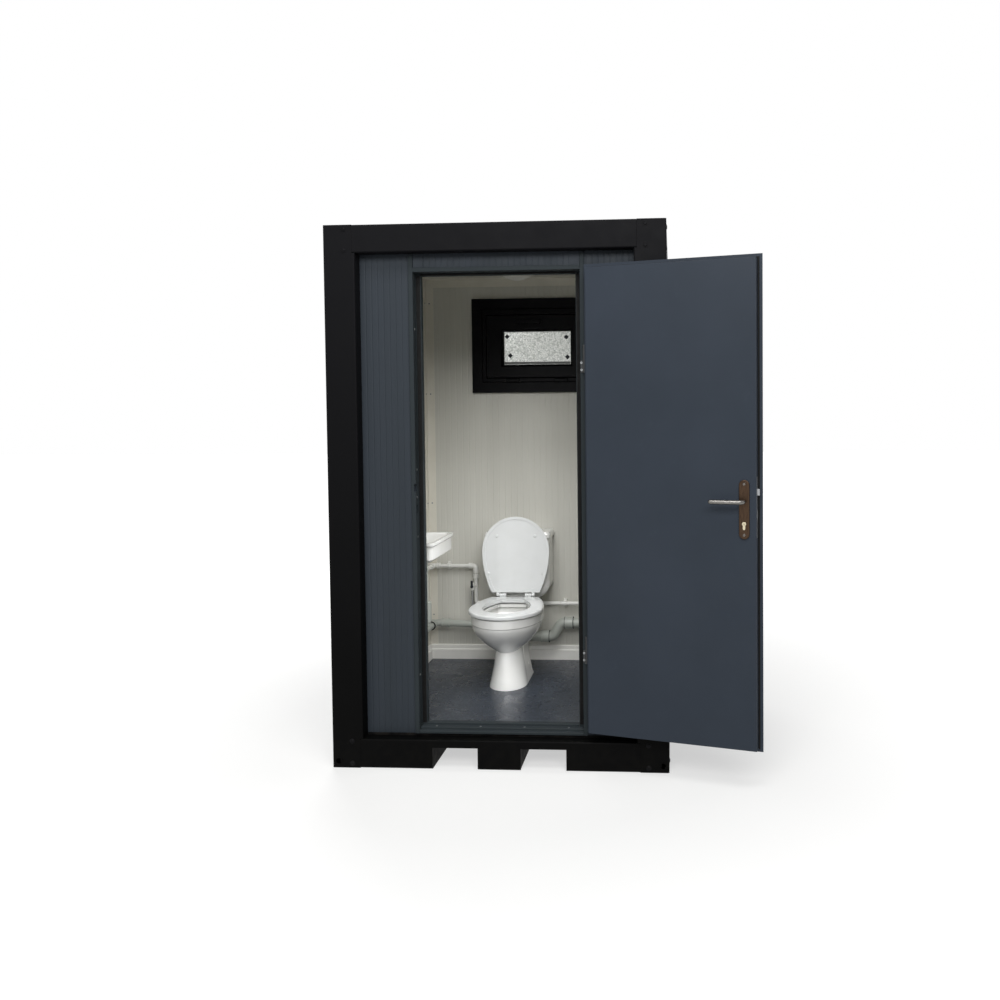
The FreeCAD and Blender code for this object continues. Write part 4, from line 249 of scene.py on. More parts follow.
def floor_sheet():
    """Speckled safety vinyl: dark blue-grey with paler and darker chips under a low sheen."""
    material, tree, shader, place = finish("speckled_safety_vinyl", "#3A404B", 0.3, Specular_IOR_Level=0.3)
    chips = add(tree, CELLS, {"Scale": per_metre(4.5)}, {"Vector": place})
    pick = add(tree, "ShaderNodeSeparateColor", links={"Color": chips.outputs["Color"]})
    pale = add(tree, RANGE, {"From Min": 0.80, "From Max": 0.84}, {"Value": pick.outputs["Red"]})
    dark = add(tree, RANGE, {"From Min": 0.78, "From Max": 0.82}, {"Value": pick.outputs["Green"]})
    tone = add(tree, MIX, {"data_type": "RGBA", 6: linear("#373D47"), 7: linear("#4D545F")}, {0: pale})
    tone = add(tree, MIX, {"data_type": "RGBA", 7: linear("#2B2F36")}, {0: dark, 6: tone})
    soil = add(tree, NOISE, {"Scale": per_metre(160), "Detail": 4.0}, {"Vector": place})
    dust = add(tree, RANGE, {"From Min": 0.5, "From Max": 0.8, "To Max": 0.1}, {"Value": soil})
    tone = add(tree, MIX, {"data_type": "RGBA", 7: linear("#5A5D62")}, {0: dust, 6: tone})
    wear = add(tree, NOISE, {"Scale": per_metre(80), "Detail": 5.0, "Roughness": 0.6}, {"Vector": place})
    spread = {"From Min": 0.3, "From Max": 0.75, "To Min": 0.2, "To Max": 0.42}
    gloss = add(tree, RANGE, spread, {"Value": wear})
    wire(tree, shader, tone, gloss, chips.outputs["Distance"], 0.12)
    return material


def glaze(name, colour, deep):
    """Fired glaze over white ceramic: bright, wet gloss with a barely wavy skin."""
    material, tree, shader, place = finish(name, colour, 0.09, Coat_Weight=0.3, Coat_Roughness=0.04)
    cloud = add(tree, NOISE, {"Scale": per_metre(130)}, {"Vector": place})
    share = add(tree, RANGE, {"From Min": 0.3, "From Max": 0.7}, {"Value": cloud})
    tone = add(tree, MIX, {"data_type": "RGBA", 6: linear(colour), 7: linear(deep)}, {0: share})
    film = add(tree, NOISE, {"Scale": per_metre(30), "Detail": 5.0}, {"Vector": place})
    spread = {"From Min": 0.5, "From Max": 0.8, "To Min": 0.08, "To Max": 0.2}
    gloss = add(tree, RANGE, spread, {"Value": film})
    waves = add(tree, NOISE, {"Scale": per_metre(45), "Detail": 1.0}, {"Vector": place})
    wire(tree, shader, tone, gloss, waves, 0.12, 2.0)
    return material


def moulded(name, colour, shade, roughness, grain_mm=3.0, edge_mm=1.0, **sockets):
    """Moulded plastic: even colour, a slight cloud in tone, and the tool's fine texture."""
    material, tree, shader, place = finish(name, colour, roughness, **sockets)
    cloud = add(tree, NOISE, {"Scale": per_metre(70), "Detail": 4.0}, {"Vector": place})
    share = add(tree, RANGE, {"From Min": 0.35, "From Max": 0.75, "To Max": 0.6}, {"Value": cloud})
    tone = add(tree, MIX, {"data_type": "RGBA", 6: linear(colour), 7: linear(shade)}, {0: share})
    sheen = add(tree, NOISE, {"Scale": per_metre(25), "Detail": 3.0}, {"Vector": place})
    spread = {"From Min": 0.3, "From Max": 0.7, "To Min": roughness - 0.05, "To Max": roughness + 0.07}
    gloss = add(tree, RANGE, spread, {"Value": sheen})
    grain = add(tree, NOISE, {"Scale": per_metre(grain_mm), "Detail": 1.0}, {"Vector": place})
    wire(tree, shader, tone, gloss, grain, 0.03, edge_mm)
    return material


def brushed(name, colour, bright, roughness, stretch, edge_mm=0.8):
    """Brushed metal: fine parallel lines that vary the tone and the gloss."""
    material, tree, shader, place = finish(name, colour, roughness, Metallic=1.0)
    drawn = add(tree, STRETCH, {"Scale": stretch}, {"Vector": place})
    lines = add(tree, NOISE, {"Scale": per_metre(2), "Detail": 3.0}, {"Vector": drawn})
    share = add(tree, RANGE, {"From Min": 0.3, "From Max": 0.7}, {"Value": lines})
    tone = add(tree, MIX, {"data_type": "RGBA", 6: linear(colour), 7: linear(bright)}, {0: share})
    spread = {"From Min": 0.3, "From Max": 0.7, "To Min": roughness - 0.08, "To Max": roughness + 0.1}
    gloss = add(tree, RANGE, spread, {"Value": lines})
    wire(tree, shader, tone, gloss, lines, 0.03, edge_mm)
    return material


def polished(name, colour, tarnish, roughness):
    """Plated and polished metal, with the faint smears that water leaves."""
    material, tree, shader, place = finish(name, colour, roughness, Metallic=1.0)
    smear = add(tree, NOISE, {"Scale": per_metre(14), "Detail": 5.0, "Roughness": 0.65}, {"Vector": place})
    share = add(tree, RANGE, {"From Min": 0.5, "From Max": 0.85, "To Max": 0.6}, {"Value": smear})
    tone = add(tree, MIX, {"data_type": "RGBA", 6: linear(colour), 7: linear(tarnish)}, {0: share})
    spread = {"From Min": 0.45, "From Max": 0.8, "To Min": roughness, "To Max": roughness + 0.16}
    gloss = add(tree, RANGE, spread, {"Value": smear})
    skin = add(tree, NOISE, {"Scale": per_metre(20), "Detail": 1.0}, {"Vector": place})
    wire(tree, shader, tone, gloss, skin, 0.02, 0.5)
    return material


def frosted_pane():
    """Figured glass: clear body, one face rolled into small pebbles that scatter the daylight."""
    name = "pebbled_obscure_glass"
    material, tree, shader, place = finish(name, "#EDF2EF", 0.35, Transmission_Weight=0.68, IOR=1.5)
    cells = {"Scale": per_metre(9), "Randomness": 0.9}
    pebbles = add(tree, CELLS, cells, {"Vector": place})
    spots = add(tree, RANGE, {"From Min": 0.35, "From Max": 0.75}, {"Value": pebbles.outputs["Distance"]})
    tone = add(tree, MIX, {"data_type": "RGBA", 6: linear("#F8F9F5"), 7: linear("#AEB3AD")}, {0: spots})
    wire(tree, shader, tone, None, pebbles.outputs["Distance"], 1.2)
    return material


def plywood():
    """Plain plywood under the floor: long pale and dark fibres and a dull face."""
    material, tree, shader, place = finish("birch_plywood", "#A07F56", 0.7)
    grain = add(tree, STRETCH, {"Scale": (0.12, 1, 1)}, {"Vector": place})
    fibres = add(tree, NOISE, {"Scale": per_metre(12), "Detail": 6.0}, {"Vector": grain})
    figure = add(tree, STRETCH, {"Scale": (0.2, 1, 1)}, {"Vector": place})
    rings = add(tree, NOISE, {"Scale": per_metre(90), "Detail": 3.0}, {"Vector": figure})
    tone = add(tree, MIX, {"data_type": "RGBA", 6: linear("#8A6A45"), 7: linear("#B8956A")}, {0: fibres})
    share = add(tree, RANGE, {"From Min": 0.4, "From Max": 0.6}, {"Value": rings})
    tone = add(tree, MIX, {"data_type": "RGBA", 7: linear("#9C7A50")}, {0: share, 6: tone})
    wire(tree, shader, tone, None, fibres, 0.15)
    return material


def braid():
    """Braided steel sleeve: crossing diagonal strands, bright on their crowns."""
    material, tree, shader, place = finish("braided_steel_sleeve", "#8E9092", 0.32, Metallic=0.9)
    strands = []
    for direction in (1, -1):
        turned = add(tree, STRETCH, {"Rotation": (0, direction * 0.7, 0)}, {"Vector": place})
        # Strands of 1 mm are drawn 5 mm wide, the least that shows
        wave = {"Scale": per_metre(5) / 6.28, "bands_direction": "Z"}
        strands.append(add(tree, "ShaderNodeTexWave", wave, {"Vector": turned}).outputs["Fac"])
    weave = add(tree, MATH, {"operation": "MAXIMUM"}, {0: strands[0], 1: strands[1]})
    tone = add(tree, MIX, {"data_type": "RGBA", 6: linear("#56595B"), 7: linear("#CDCFD0")}, {0: weave})
    wire(tree, shader, tone, None, weave, 0.6)
    return material


def bowl_water():
    """Still water in the bowl: clear, very smooth, with a slow ripple."""
    name = "clear_still_water"
    material, tree, shader, place = finish(name, "#DCE6E4", 0.02, Transmission_Weight=0.9, IOR=1.333)
    ripple = add(tree, NOISE, {"Scale": per_metre(60), "Detail": 2.0}, {"Vector": place})
    tone = add(tree, MIX, {"data_type": "RGBA", 6: linear("#DCE6E4"), 7: linear("#CBD8D6")}, {0: ripple})
    wire(tree, shader, tone, None, ripple, 0.2)
    return material


def opal_diffuser():
    """Opal lamp cover: milky, lets a little light into its body."""
    sockets = {"Subsurface_Weight": 0.3, "Subsurface_Radius": (0.01, 0.01, 0.01)}
    return moulded("opal_polycarbonate", "#D9D8D2", "#C9C8C0", 0.32, edge_mm=2.0, **sockets)


def finishes():
    """Every finish of the cabin, by a short name that pieces use."""
    dull = {"Specular_IOR_Level": 0.05}
    black = ("#040404", "#090909", 0.5)
    # The frame's coat carries painted light: lighter towards the roof, as if lit from above
    frame_coat = powder_coat("satin_black_powder_coat", *black, dust=0.03, painted_top_light="#151517", **dull)
    under_coat = powder_coat("black_chassis_paint", "#111112", "#191817", 0.6, dust=0.45, **dull)
    anthracite = ("#343A3D", "#3B4144")
    casing_coat = powder_coat("anthracite_door_frame_coat", *anthracite, dust=0.2, edge_mm=1.0, **dull)
    return {
        # Coated steel: satin faces that stay dark, with soft light along the folds
        "frame": frame_coat,
        "under": under_coat,
        "roof": powder_coat("coated_roof_steel", "#3B4046", "#4A4F55", roughness=0.4),
        "casing": casing_coat,
        "hinge": powder_coat("dark_hinge_coat", "#1E2022", "#2A2C2E", roughness=0.38, edge_mm=1.0),
        "bolt": powder_coat("painted_bolt_heads", "#101012", "#1A1A1C", 0.36, dust=0.1, edge_mm=1.0, **dull),
        "walls": wall_sheet(),
        "door": door_sheet(),
        # Boards, coverings and plastics: even colour and broad, soft highlights
        "ceiling": moulded("grey_white_ceiling_sheet", "#CFCDC4", "#C4C2B8", 0.5, grain_mm=8),
        "plywood": plywood(),
        "vinyl": floor_sheet(),
        "trims": moulded("cream_trim_strips", "#E4E1D6", "#DAD6CA", 0.42),
        "boards": moulded("foamed_skirting_boards", "#F0EFEA", "#E6E5DF", 0.4),
        # Glazed ceramic and the pressed seat: bright white with sharp reflections
        "ceramic": glaze("white_glazed_ceramic", "#F0F0EE", "#EAEAE7"),
        "seat": moulded("white_thermoset_seat", "#DFE1E1", "#D8DAD9", 0.16, grain_mm=30, Coat_Weight=0.3),
        # Extruded window profile, near black, round glass that lights up against the day
        "window": moulded("black_window_profile", "#08080A", "#0F0F11", 0.42, Specular_IOR_Level=0.08),
        "glass": frosted_pane(),
        # Metal: the finer its finish, the sharper the highlight
        "chrome": polished("chromed_brass", "#D8D9DA", "#B9BBBD", 0.07),
        "bronze": brushed("bronzed_brushed_steel_plate", "#382C24", "#4F3F32", 0.34, (1, 1, 0.06)),
        "lever": brushed("brushed_stainless_lever", "#555452", "#888581", 0.22, (0.08, 0.08, 1)),
        "lock": brushed("zinc_plated_lock_steel", "#8F9194", "#B4B6B8", 0.34, (1, 1, 0.1)),
        "nickel": polished("nickel_plated_cylinder", "#C9BFA6", "#A99F88", 0.18),
        # Rubber and pipe plastics: matt black against low-gloss grey and white
        "rubber": moulded("black_door_seal_rubber", "#0E0E0E", "#151515", 0.7, Specular_IOR_Level=0.2),
        "waste": moulded("grey_green_waste_pipe", "#B4B8B1", "#A7ABA4", 0.36),
        "water": moulded("white_polypropylene_water_pipe", "#ECECE8", "#E0E0DB", 0.3),
        "valve": moulded("dark_valve_handle", "#22252B", "#2C2F35", 0.35),
        "hose": braid(),
        "lamp": opal_diffuser(),
        "pool": bowl_water(),
        "screw": brushed("zinc_plated_screw_heads", "#7E8082", "#A5A7A9", 0.34, (1, 1, 1), 0.3),
        "pad": moulded("grey_nylon_pads", "#8B8D8C", "#7C7E7D", 0.5),
        "dark_pad": moulded("dark_rubber_pads", "#11141F", "#1A1D29", 0.6),
    }


def dress_nodes(looks):
    """Gives every solid the finish of the thing it is."""
    worn_by = {
        "frame": ("post_front_left", "post_front_right", "post_rear_left", "post_rear_right",
                  "roof_beams_long", "roof_beams_side", "base_beams_long", "base_beams_side"),
        "under": ("fork_tunnels", "floor_joists"),
        "roof": ("roof_sheet",),
        "casing": ("door_frame_lock_jamb", "door_frame_hinge_jamb", "door_frame_head", "door_threshold"),
        "hinge": ("hinges_frame_side", "hinges_door_side"),
        "bolt": ("frame_bolts",),
        "walls": ("wall_front_left", "wall_front_right", "wall_front_header",
                  "wall_left", "wall_right", "wall_rear"),
        "door": ("door_outer_leaf", "door_inner_leaf"),
        "ceiling": ("ceiling_panel",),
        "plywood": ("floor_board",),
        "vinyl": ("floor_covering",),
        "trims": ("inner_trims",),
        "boards": ("skirting",),
        "ceramic": ("toilet_pan", "cistern", "cistern_lid", "basin"),
        "seat": ("seat_ring", "seat_lid", "seat_hinges"),
        "window": ("window_frame", "window_sash", "window_handle"),
        "glass": ("window_pane",),
        "chrome": ("flush_button_full", "flush_button_half", "tap_body", "tap_lever"),
        "bronze": ("backplates",),
        "lever": ("door_levers",),
        "lock": ("lock_case", "latch_bolt", "dead_bolt"),
        "nickel": ("lock_cylinder", "cylinder_plug"),
        "rubber": ("door_gasket",),
        "waste": ("basin_waste", "soil_bend"),
        "water": ("water_pipes",),
        "valve": ("valve_lever",),
        "hose": ("cistern_hose",),
        "lamp": ("ceiling_lamp",),
    }
    for look, names in worn_by.items():
        for name in names:
            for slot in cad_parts[name].material_slots:
                slot.material = looks[look]


def turned_form(name, profile, sides, hollow=False):
    """A turned piece: one circle, extruded and scaled ring by ring along radius and level in mm."""
    bpy.ops.object.select_all(action="DESELECT")
    radius, level = profile[0]
    fill = "NOTHING" if hollow else "NGON"
    start = (0, 0, level / 1000)
    bpy.ops.mesh.primitive_circle_add(vertices=sides, radius=radius / 1000, fill_type=fill, location=start)
    piece = bpy.context.object
    piece.name = name
    bpy.ops.object.mode_set(mode="EDIT")
    bpy.ops.mesh.select_mode(type="VERT")
    bpy.ops.mesh.select_all(action="SELECT")
    for next_radius, next_level in profile[1:]:
        rise = (0, 0, (next_level - level) / 1000)
        bpy.ops.mesh.extrude_region_move(TRANSFORM_OT_translate={"value": rise})
        grow = next_radius / radius
        bpy.ops.transform.resize(value=(grow, grow, 1), center_override=(0, 0, next_level / 1000))
        radius, level = next_radius, next_level
    bpy.ops.mesh.select_all(action="SELECT")
    bpy.ops.mesh.remove_doubles(threshold=0.00002)
    bpy.ops.mesh.normals_make_consistent(inside=False)
    bpy.ops.object.mode_set(mode="OBJECT")
    return applied(piece)


def applied(piece):
    """Puts a piece's place into its mesh and smooths its gentle edges."""
    bpy.ops.object.select_all(action="DESELECT")
    piece.select_set(True)
    bpy.context.view_layer.objects.active = piece
    bpy.ops.object.transform_apply(location=True, rotation=True, scale=True)
    bpy.ops.object.shade_smooth_by_angle(angle=math.radians(32))
    return piece


def pick_faces(piece, wanted):
    """Selects, in edit mode, the faces whose middle and normal pass a test."""
    bpy.ops.mesh.select_mode(type="FACE")
    bpy.ops.mesh.select_all(action="DESELECT")
    mesh = bmesh.from_edit_mesh(piece.data)
    for face in mesh.faces:
        face.select_set(wanted(face.calc_center_median(), face.normal))
    bmesh.update_edit_mesh(piece.data)


def bevelled_bar(name, size, bevel_mm):
    """A bar of this width, depth and height in mm round the origin, its edges bevelled."""
    bpy.ops.object.select_all(action="DESELECT")
    bpy.ops.mesh.primitive_cube_add(size=1.0, location=(0, 0, 0))
    piece = bpy.context.object
    piece.name = name
    bpy.ops.object.mode_set(mode="EDIT")
    bpy.ops.mesh.select_all(action="SELECT")
    bpy.ops.transform.resize(value=[part / 1000 for part in size])
    bpy.ops.mesh.bevel(offset=bevel_mm / 1000, segments=2, affect="EDGES")
    bpy.ops.object.mode_set(mode="OBJECT")
    return applied(piece)


def ring_frame(name, width, height, border, depth, bevel_mm):
    """A flat frame in mm, standing in X and Z, its outer edges eased; its front is at y = 0."""
    bpy.ops.object.select_all(action="DESELECT")
    bpy.ops.mesh.primitive_plane_add(size=1.0, location=(0, 0, 0))
    piece = bpy.context.object
    piece.name = name
    bpy.ops.object.mode_set(mode="EDIT")
    bpy.ops.mesh.select_all(action="SELECT")
    bpy.ops.transform.resize(value=(width / 1000, height / 1000, 1))
    bpy.ops.mesh.inset(thickness=border / 1000)
    bpy.ops.mesh.delete(type="FACE")
    bpy.ops.mesh.select_all(action="SELECT")
    bpy.ops.mesh.extrude_region_move(TRANSFORM_OT_translate={"value": (0, 0, depth / 1000)})
    bpy.ops.mesh.select_all(action="SELECT")
    bpy.ops.mesh.normals_make_consistent(inside=False)
    pick_faces(piece, lambda middle, normal: normal.z > 0.9)
    bpy.ops.mesh.bevel(offset=bevel_mm / 1000, segments=2, affect="EDGES")
    bpy.ops.mesh.select_all(action="SELECT")
    bpy.ops.transform.rotate(value=-math.pi / 2, orient_axis="X", center_override=(0, 0, 0))
    bpy.ops.object.mode_set(mode="OBJECT")
    piece = applied(piece)
    low = min(vertex.co.y for vertex in piece.data.vertices)
    piece.data.transform(Matrix.Translation((0, -low, 0)))
    return piece


def pointing(place, direction):
    """A placement whose own Z axis points along a direction."""
    turn = Vector(direction).to_track_quat("Z", "Y").to_matrix().to_4x4()
    return Matrix.Translation(place) @ turn


def about(line, degrees, axis):
    """A turn about a line through a point."""
    there = Matrix.Translation(line)
    return there @ Matrix.Rotation(math.radians(degrees), 4, axis) @ there.inverted()


def copies(model, name, spots, look, body):
    """Copies of a modelled piece at each placement, each with its own mesh."""
    for index, spot in enumerate(spots):
        mesh = model.data.copy()
        mesh.transform(spot)
        mesh.materials.clear()
        mesh.materials.append(look)
        piece = bpy.data.objects.new(f"{name}_{index + 1:02d}", mesh)
        bpy.context.scene.collection.objects.link(piece)
        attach(piece, body)


def drop(*models):
    """Removes models once their copies are placed."""
    for model in models:
        bpy.data.objects.remove(model)


def screws(looks):
    """Screws of the shell: domed heads with a driver's recess, one model copied to each place."""
    domed = [(4.2, -1.0), (4.2, 0.6), (3.6, 1.9), (2.3, 2.5), (1.7, 2.5), (1.3, 1.1)]
    head = turned_form("pan_head", domed, 20)
    flat = turned_form("flat_head", [(5.2, -1.0), (5.2, 0.2), (4.9, 0.6), (2.2, 0.6), (1.7, -0.4)], 20)
    washered = [(9, -0.6), (9, 0.6), (8.2, 1.4), (6.4, 1.4), (6.4, 2.0), (4.6, 2.0), (4.6, 5.6), (3.8, 6.2)]
    roof = turned_form("roofing_head", washered, 24)
    corner = []
    for side in (-1, 1):
        for depth in (-1, 1):
            for z in TRIM_LEVELS:
                x, y = side * (SHEET_IN_X - TRIM_LINE), depth * (SHEET_IN_Y - TRIM_THICK)
                corner.append(pointing((x, y, z), (0, -depth, 0)))
                x, y = side * (SHEET_IN_X - TRIM_THICK), depth * (SHEET_IN_Y - TRIM_LINE)
                corner.append(pointing((x, y, z), (-side, 0, 0)))
    copies(head, "corner_trim_screw", corner, looks["screw"], "cabin")
    jambs = [pointing((-REBATE_X, JAMB_SCREW_Y, z), (1, 0, 0)) for z in (0.40, 1.024, 1.201, 1.325, 1.95)]
    jambs += [pointing((REBATE_X, JAMB_SCREW_Y, z), (-1, 0, 0)) for z in (0.70, 1.20, 1.62)]
    copies(flat, "jamb_screw", jambs, looks["screw"], "cabin")
    levels = (0.480, 0.511, 1.760, 1.791)
    hinges = [pointing((FRAME_WING_X, FRAME_WING_FACE, z), (0, -1, 0)) for z in levels]
    copies(flat, "hinge_screw", hinges, looks["screw"], "cabin")
    door = about(HINGE_LINE, DOOR_ANGLE, "Z")
    wings = [door @ pointing((x, LEAF_WING_FACE, z), (0, -1, 0))
             for x in (0.300, 0.335) for z in (0.546, 0.570, 1.826, 1.850)]
    copies(flat, "door_hinge_screw", wings, looks["screw"], "door")
    faces = ((PLATE_OUTER_FACE, -1), (PLATE_INNER_FACE, 1))
    plates = [door @ pointing((PLATE_X, y, z), (0, side, 0)) for y, side in faces for z in (1.070, 1.278)]
    copies(flat, "backplate_screw", plates, looks["lever"], "door")
    tread = [pointing((x, TREAD_Y, TREAD_TOP), (0, 0, 1)) for x in (-0.30, -0.10, 0.10, 0.30)]
    copies(flat, "threshold_screw", tread, looks["screw"], "cabin")
    valleys = [pointing((x / 1000, y, ROOF_VALLEY), (0, 0, 1))
               for x in range(-570, 571, 190) for y in (-0.52, 0.0, 0.52)]
    copies(roof, "roofing_screw", valleys, looks["screw"], "cabin")
    pan = [pointing((PAN_X + side * PAN_FOOT_HALF, y, z), (side, 0, 0))
           for side in (-1, 1) for y, z in ((0.200, 0.234), (0.230, 0.194))]
    copies(head, "pan_fixing_screw", pan, looks["chrome"], "cabin")
    drop(head, flat, roof)


def seal_strip(name, width, length):
    """A rubber strip in mm, flat in X with two beads along Z; its back is at y = 0 and it faces -Y."""
    bpy.ops.object.select_all(action="DESELECT")
    bpy.ops.mesh.primitive_grid_add(x_subdivisions=5, y_subdivisions=1, size=1.0, location=(0, 0, 0))
    piece = bpy.context.object
    piece.name = name
    bpy.ops.object.mode_set(mode="EDIT")
    bpy.ops.mesh.select_all(action="SELECT")
    bpy.ops.transform.resize(value=(width / 1000, length / 1000, 1))
    bpy.ops.mesh.extrude_region_move(TRANSFORM_OT_translate={"value": (0, 0, 0.0008)})
    bpy.ops.mesh.select_all(action="SELECT")
    bpy.ops.mesh.normals_make_consistent(inside=False)
    beads = (-0.2 * width / 1000, 0.2 * width / 1000)
    pick_faces(piece, lambda middle, normal: normal.z > 0.9 and min(abs(middle.x - x) for x in beads) < 0.001)
    bpy.ops.mesh.extrude_faces_move(TRANSFORM_OT_shrink_fatten={"value": 0.0024})
    pick_faces(piece, lambda middle, normal: normal.z > 0.9 and middle.z > 0.002)
    bpy.ops.mesh.bevel(offset=0.0008, segments=2, affect="EDGES")
    bpy.ops.mesh.select_all(action="SELECT")
    bpy.ops.transform.rotate(value=-math.pi / 2, orient_axis="X", center_override=(0, 0, 0))
    bpy.ops.object.mode_set(mode="OBJECT")
    piece = applied(piece)
    if max(vertex.co.y for vertex in piece.data.vertices) > 0.001:
        piece.data.transform(Matrix.Rotation(math.pi, 4, "Z"))
    return piece


def door_seal(looks):
    """The frame's rubber seal on its stop: up both jambs and under the head."""
    upright = seal_strip("upright_seal_model", 19, 2012)
    stop = STOP_FACE - 0.0001
    spots = [Matrix.Translation((side * SEAL_X, stop, SEAL_MIDDLE)) for side in (-1, 1)]
    copies(upright, "frame_seal_upright", spots, looks["rubber"], "cabin")
    top = seal_strip("head_seal_model", 9, 695)
    across = Matrix.Translation((0, stop, HEAD_SEAL)) @ Matrix.Rotation(math.pi / 2, 4, "Y")
    copies(top, "frame_seal_head", [across], looks["rubber"], "cabin")
    drop(upright, top)


def window_pieces(looks):
    """On the sash: the glazing seal on both faces, the spacer along the foot, and four diamond pads."""
    seal = ring_frame("glazing_seal_model", 391, 197, 6, 5, 1.5)
    faces = (PANE_FRONT - 0.0045, PANE_REAR - 0.0005)
    spots = [Matrix.Translation((PANE_X, y, PANE_Z)) for y in faces]
    copies(seal, "glazing_seal", spots, looks["rubber"], "sash")
    spacer = bevelled_bar("spacer_model", (375, 2.4, 13), 0.8)
    foot = Matrix.Translation((PANE_X, PANE_FRONT - 0.0008, PANE_FOOT))
    copies(spacer, "glazing_spacer", [foot], looks["pad"], "sash")
    pad = bevelled_bar("pad_model", (20, 2.6, 20), 0.8)
    diamond = Matrix.Rotation(math.radians(45), 4, "Y")
    corners = ((-0.160, 2.008), (-0.143, 1.901), (0.176, 2.002), (0.182, 1.890))
    spots = [Matrix.Translation((x, PANE_FRONT - 0.0008, z)) @ diamond for x, z in corners]
    copies(pad, "pane_pad", spots, looks["dark_pad"], "sash")
    drop(seal, spacer, pad)


def sanitary_pieces(looks):
    """Button collar, basin waste and overflow, seat and lid bumpers, and the water in the bowl."""
    loop = [(24.4, 0), (29, 0), (29, 1.2), (27, 2.0), (24.4, 1.4), (24.4, 0)]
    collar = turned_form("collar_model", loop, 40, hollow=True)
    button = Matrix.Translation((PAN_X, TANK_Y, TANK_TOP))
    copies(collar, "flush_button_collar", [button], looks["chrome"], "cabin")
    flange = [(30, -0.4), (30, 1.0), (28, 2.2), (22, 1.6), (20, 0.6), (18, 0.6)]
    plug = [(17, 3.4), (15, 5.0), (4, 6.0)]
    waste = turned_form("waste_model", flange + plug, 40)
    floor = Matrix.Translation((BASIN_X, BASIN_Y, BASIN_FLOOR))
    copies(waste, "basin_waste_flange", [floor], looks["chrome"], "cabin")
    ring = [(7, 0), (12, 0), (12, 1.0), (10.5, 2.0), (8, 1.6), (7, 0)]
    overflow = turned_form("overflow_model", ring, 28, hollow=True)
    hole = pointing((OVERFLOW_X, BASIN_Y, OVERFLOW_Z), (1, 0, 0))
    copies(overflow, "basin_overflow_ring", [hole], looks["chrome"], "cabin")
    bumper = turned_form("bumper_model", [(11, 0), (11, 5.6), (9.6, 7.4), (6, 8.6), (2, 8.8)], 24)
    feet = ((-0.135, -0.06), (0.135, -0.06), (-0.150, 0.15), (0.150, 0.15))
    under = [pointing((PAN_X + x, y, SEAT_UNDER), (0, 0, -1)) for x, y in feet]
    copies(bumper, "seat_bumper", under, looks["seat"], "seat_ring")
    low = turned_form("lid_bumper_model", [(9, 0), (9, 1.6), (7.6, 3.4), (4, 4.4), (1.5, 4.5)], 24)
    lift = about(SEAT_LINE, LID_ANGLE, Vector((-1, 0, 0)))
    feet = ((-0.105, -0.045), (0.105, -0.045), (-0.150, 0.16), (0.150, 0.16))
    beneath = [lift @ pointing((PAN_X + x, y, LID_UNDER), (0, 0, -1)) for x, y in feet]
    copies(low, "lid_bumper", beneath, looks["seat"], "seat_lid")
    pool = turned_form("pool_model", [(64, 0), (73, 6), (73, 7.5), (71, 8)], 48)
    oval = Matrix.Translation((PAN_X, BOWL_Y, WATER_LEVEL)) @ Matrix.Diagonal((1, 1.28, 1, 1))
    copies(pool, "bowl_water", [oval], looks["pool"], "cabin")
    drop(collar, waste, overflow, bumper, low, pool)


def ribbed_nut(name, radius, height, ribs):
    """A nut's grip in metres: a short tube whose every other face is raised as a rib."""
    faces = 2 * ribs
    bpy.ops.object.select_all(action="DESELECT")
    size = {"vertices": faces, "radius": radius, "depth": height, "location": (0, 0, 0)}
    bpy.ops.mesh.primitive_cylinder_add(end_fill_type="NOTHING", **size)
    piece = bpy.context.object
    piece.name = name
    bpy.ops.object.mode_set(mode="EDIT")
    bpy.ops.mesh.select_all(action="SELECT")
    bpy.ops.mesh.extrude_region_shrink_fatten(TRANSFORM_OT_shrink_fatten={"value": 0.0008})
    bpy.ops.mesh.select_all(action="SELECT")
    bpy.ops.mesh.normals_make_consistent(inside=False)
    turn = math.radians(360 / faces)

    def every_other(middle, normal):
        """Every second face of the outer wall."""
        outward = Vector((middle.x, middle.y)).length > radius + 0.0004 and abs(normal.z) < 0.5
        return outward and round(math.atan2(middle.y, middle.x) / turn - 0.5) % 2 == 0

    pick_faces(piece, every_other)
    bpy.ops.mesh.extrude_faces_move(TRANSFORM_OT_shrink_fatten={"value": 0.0016})
    bpy.ops.object.mode_set(mode="OBJECT")
    return applied(piece)


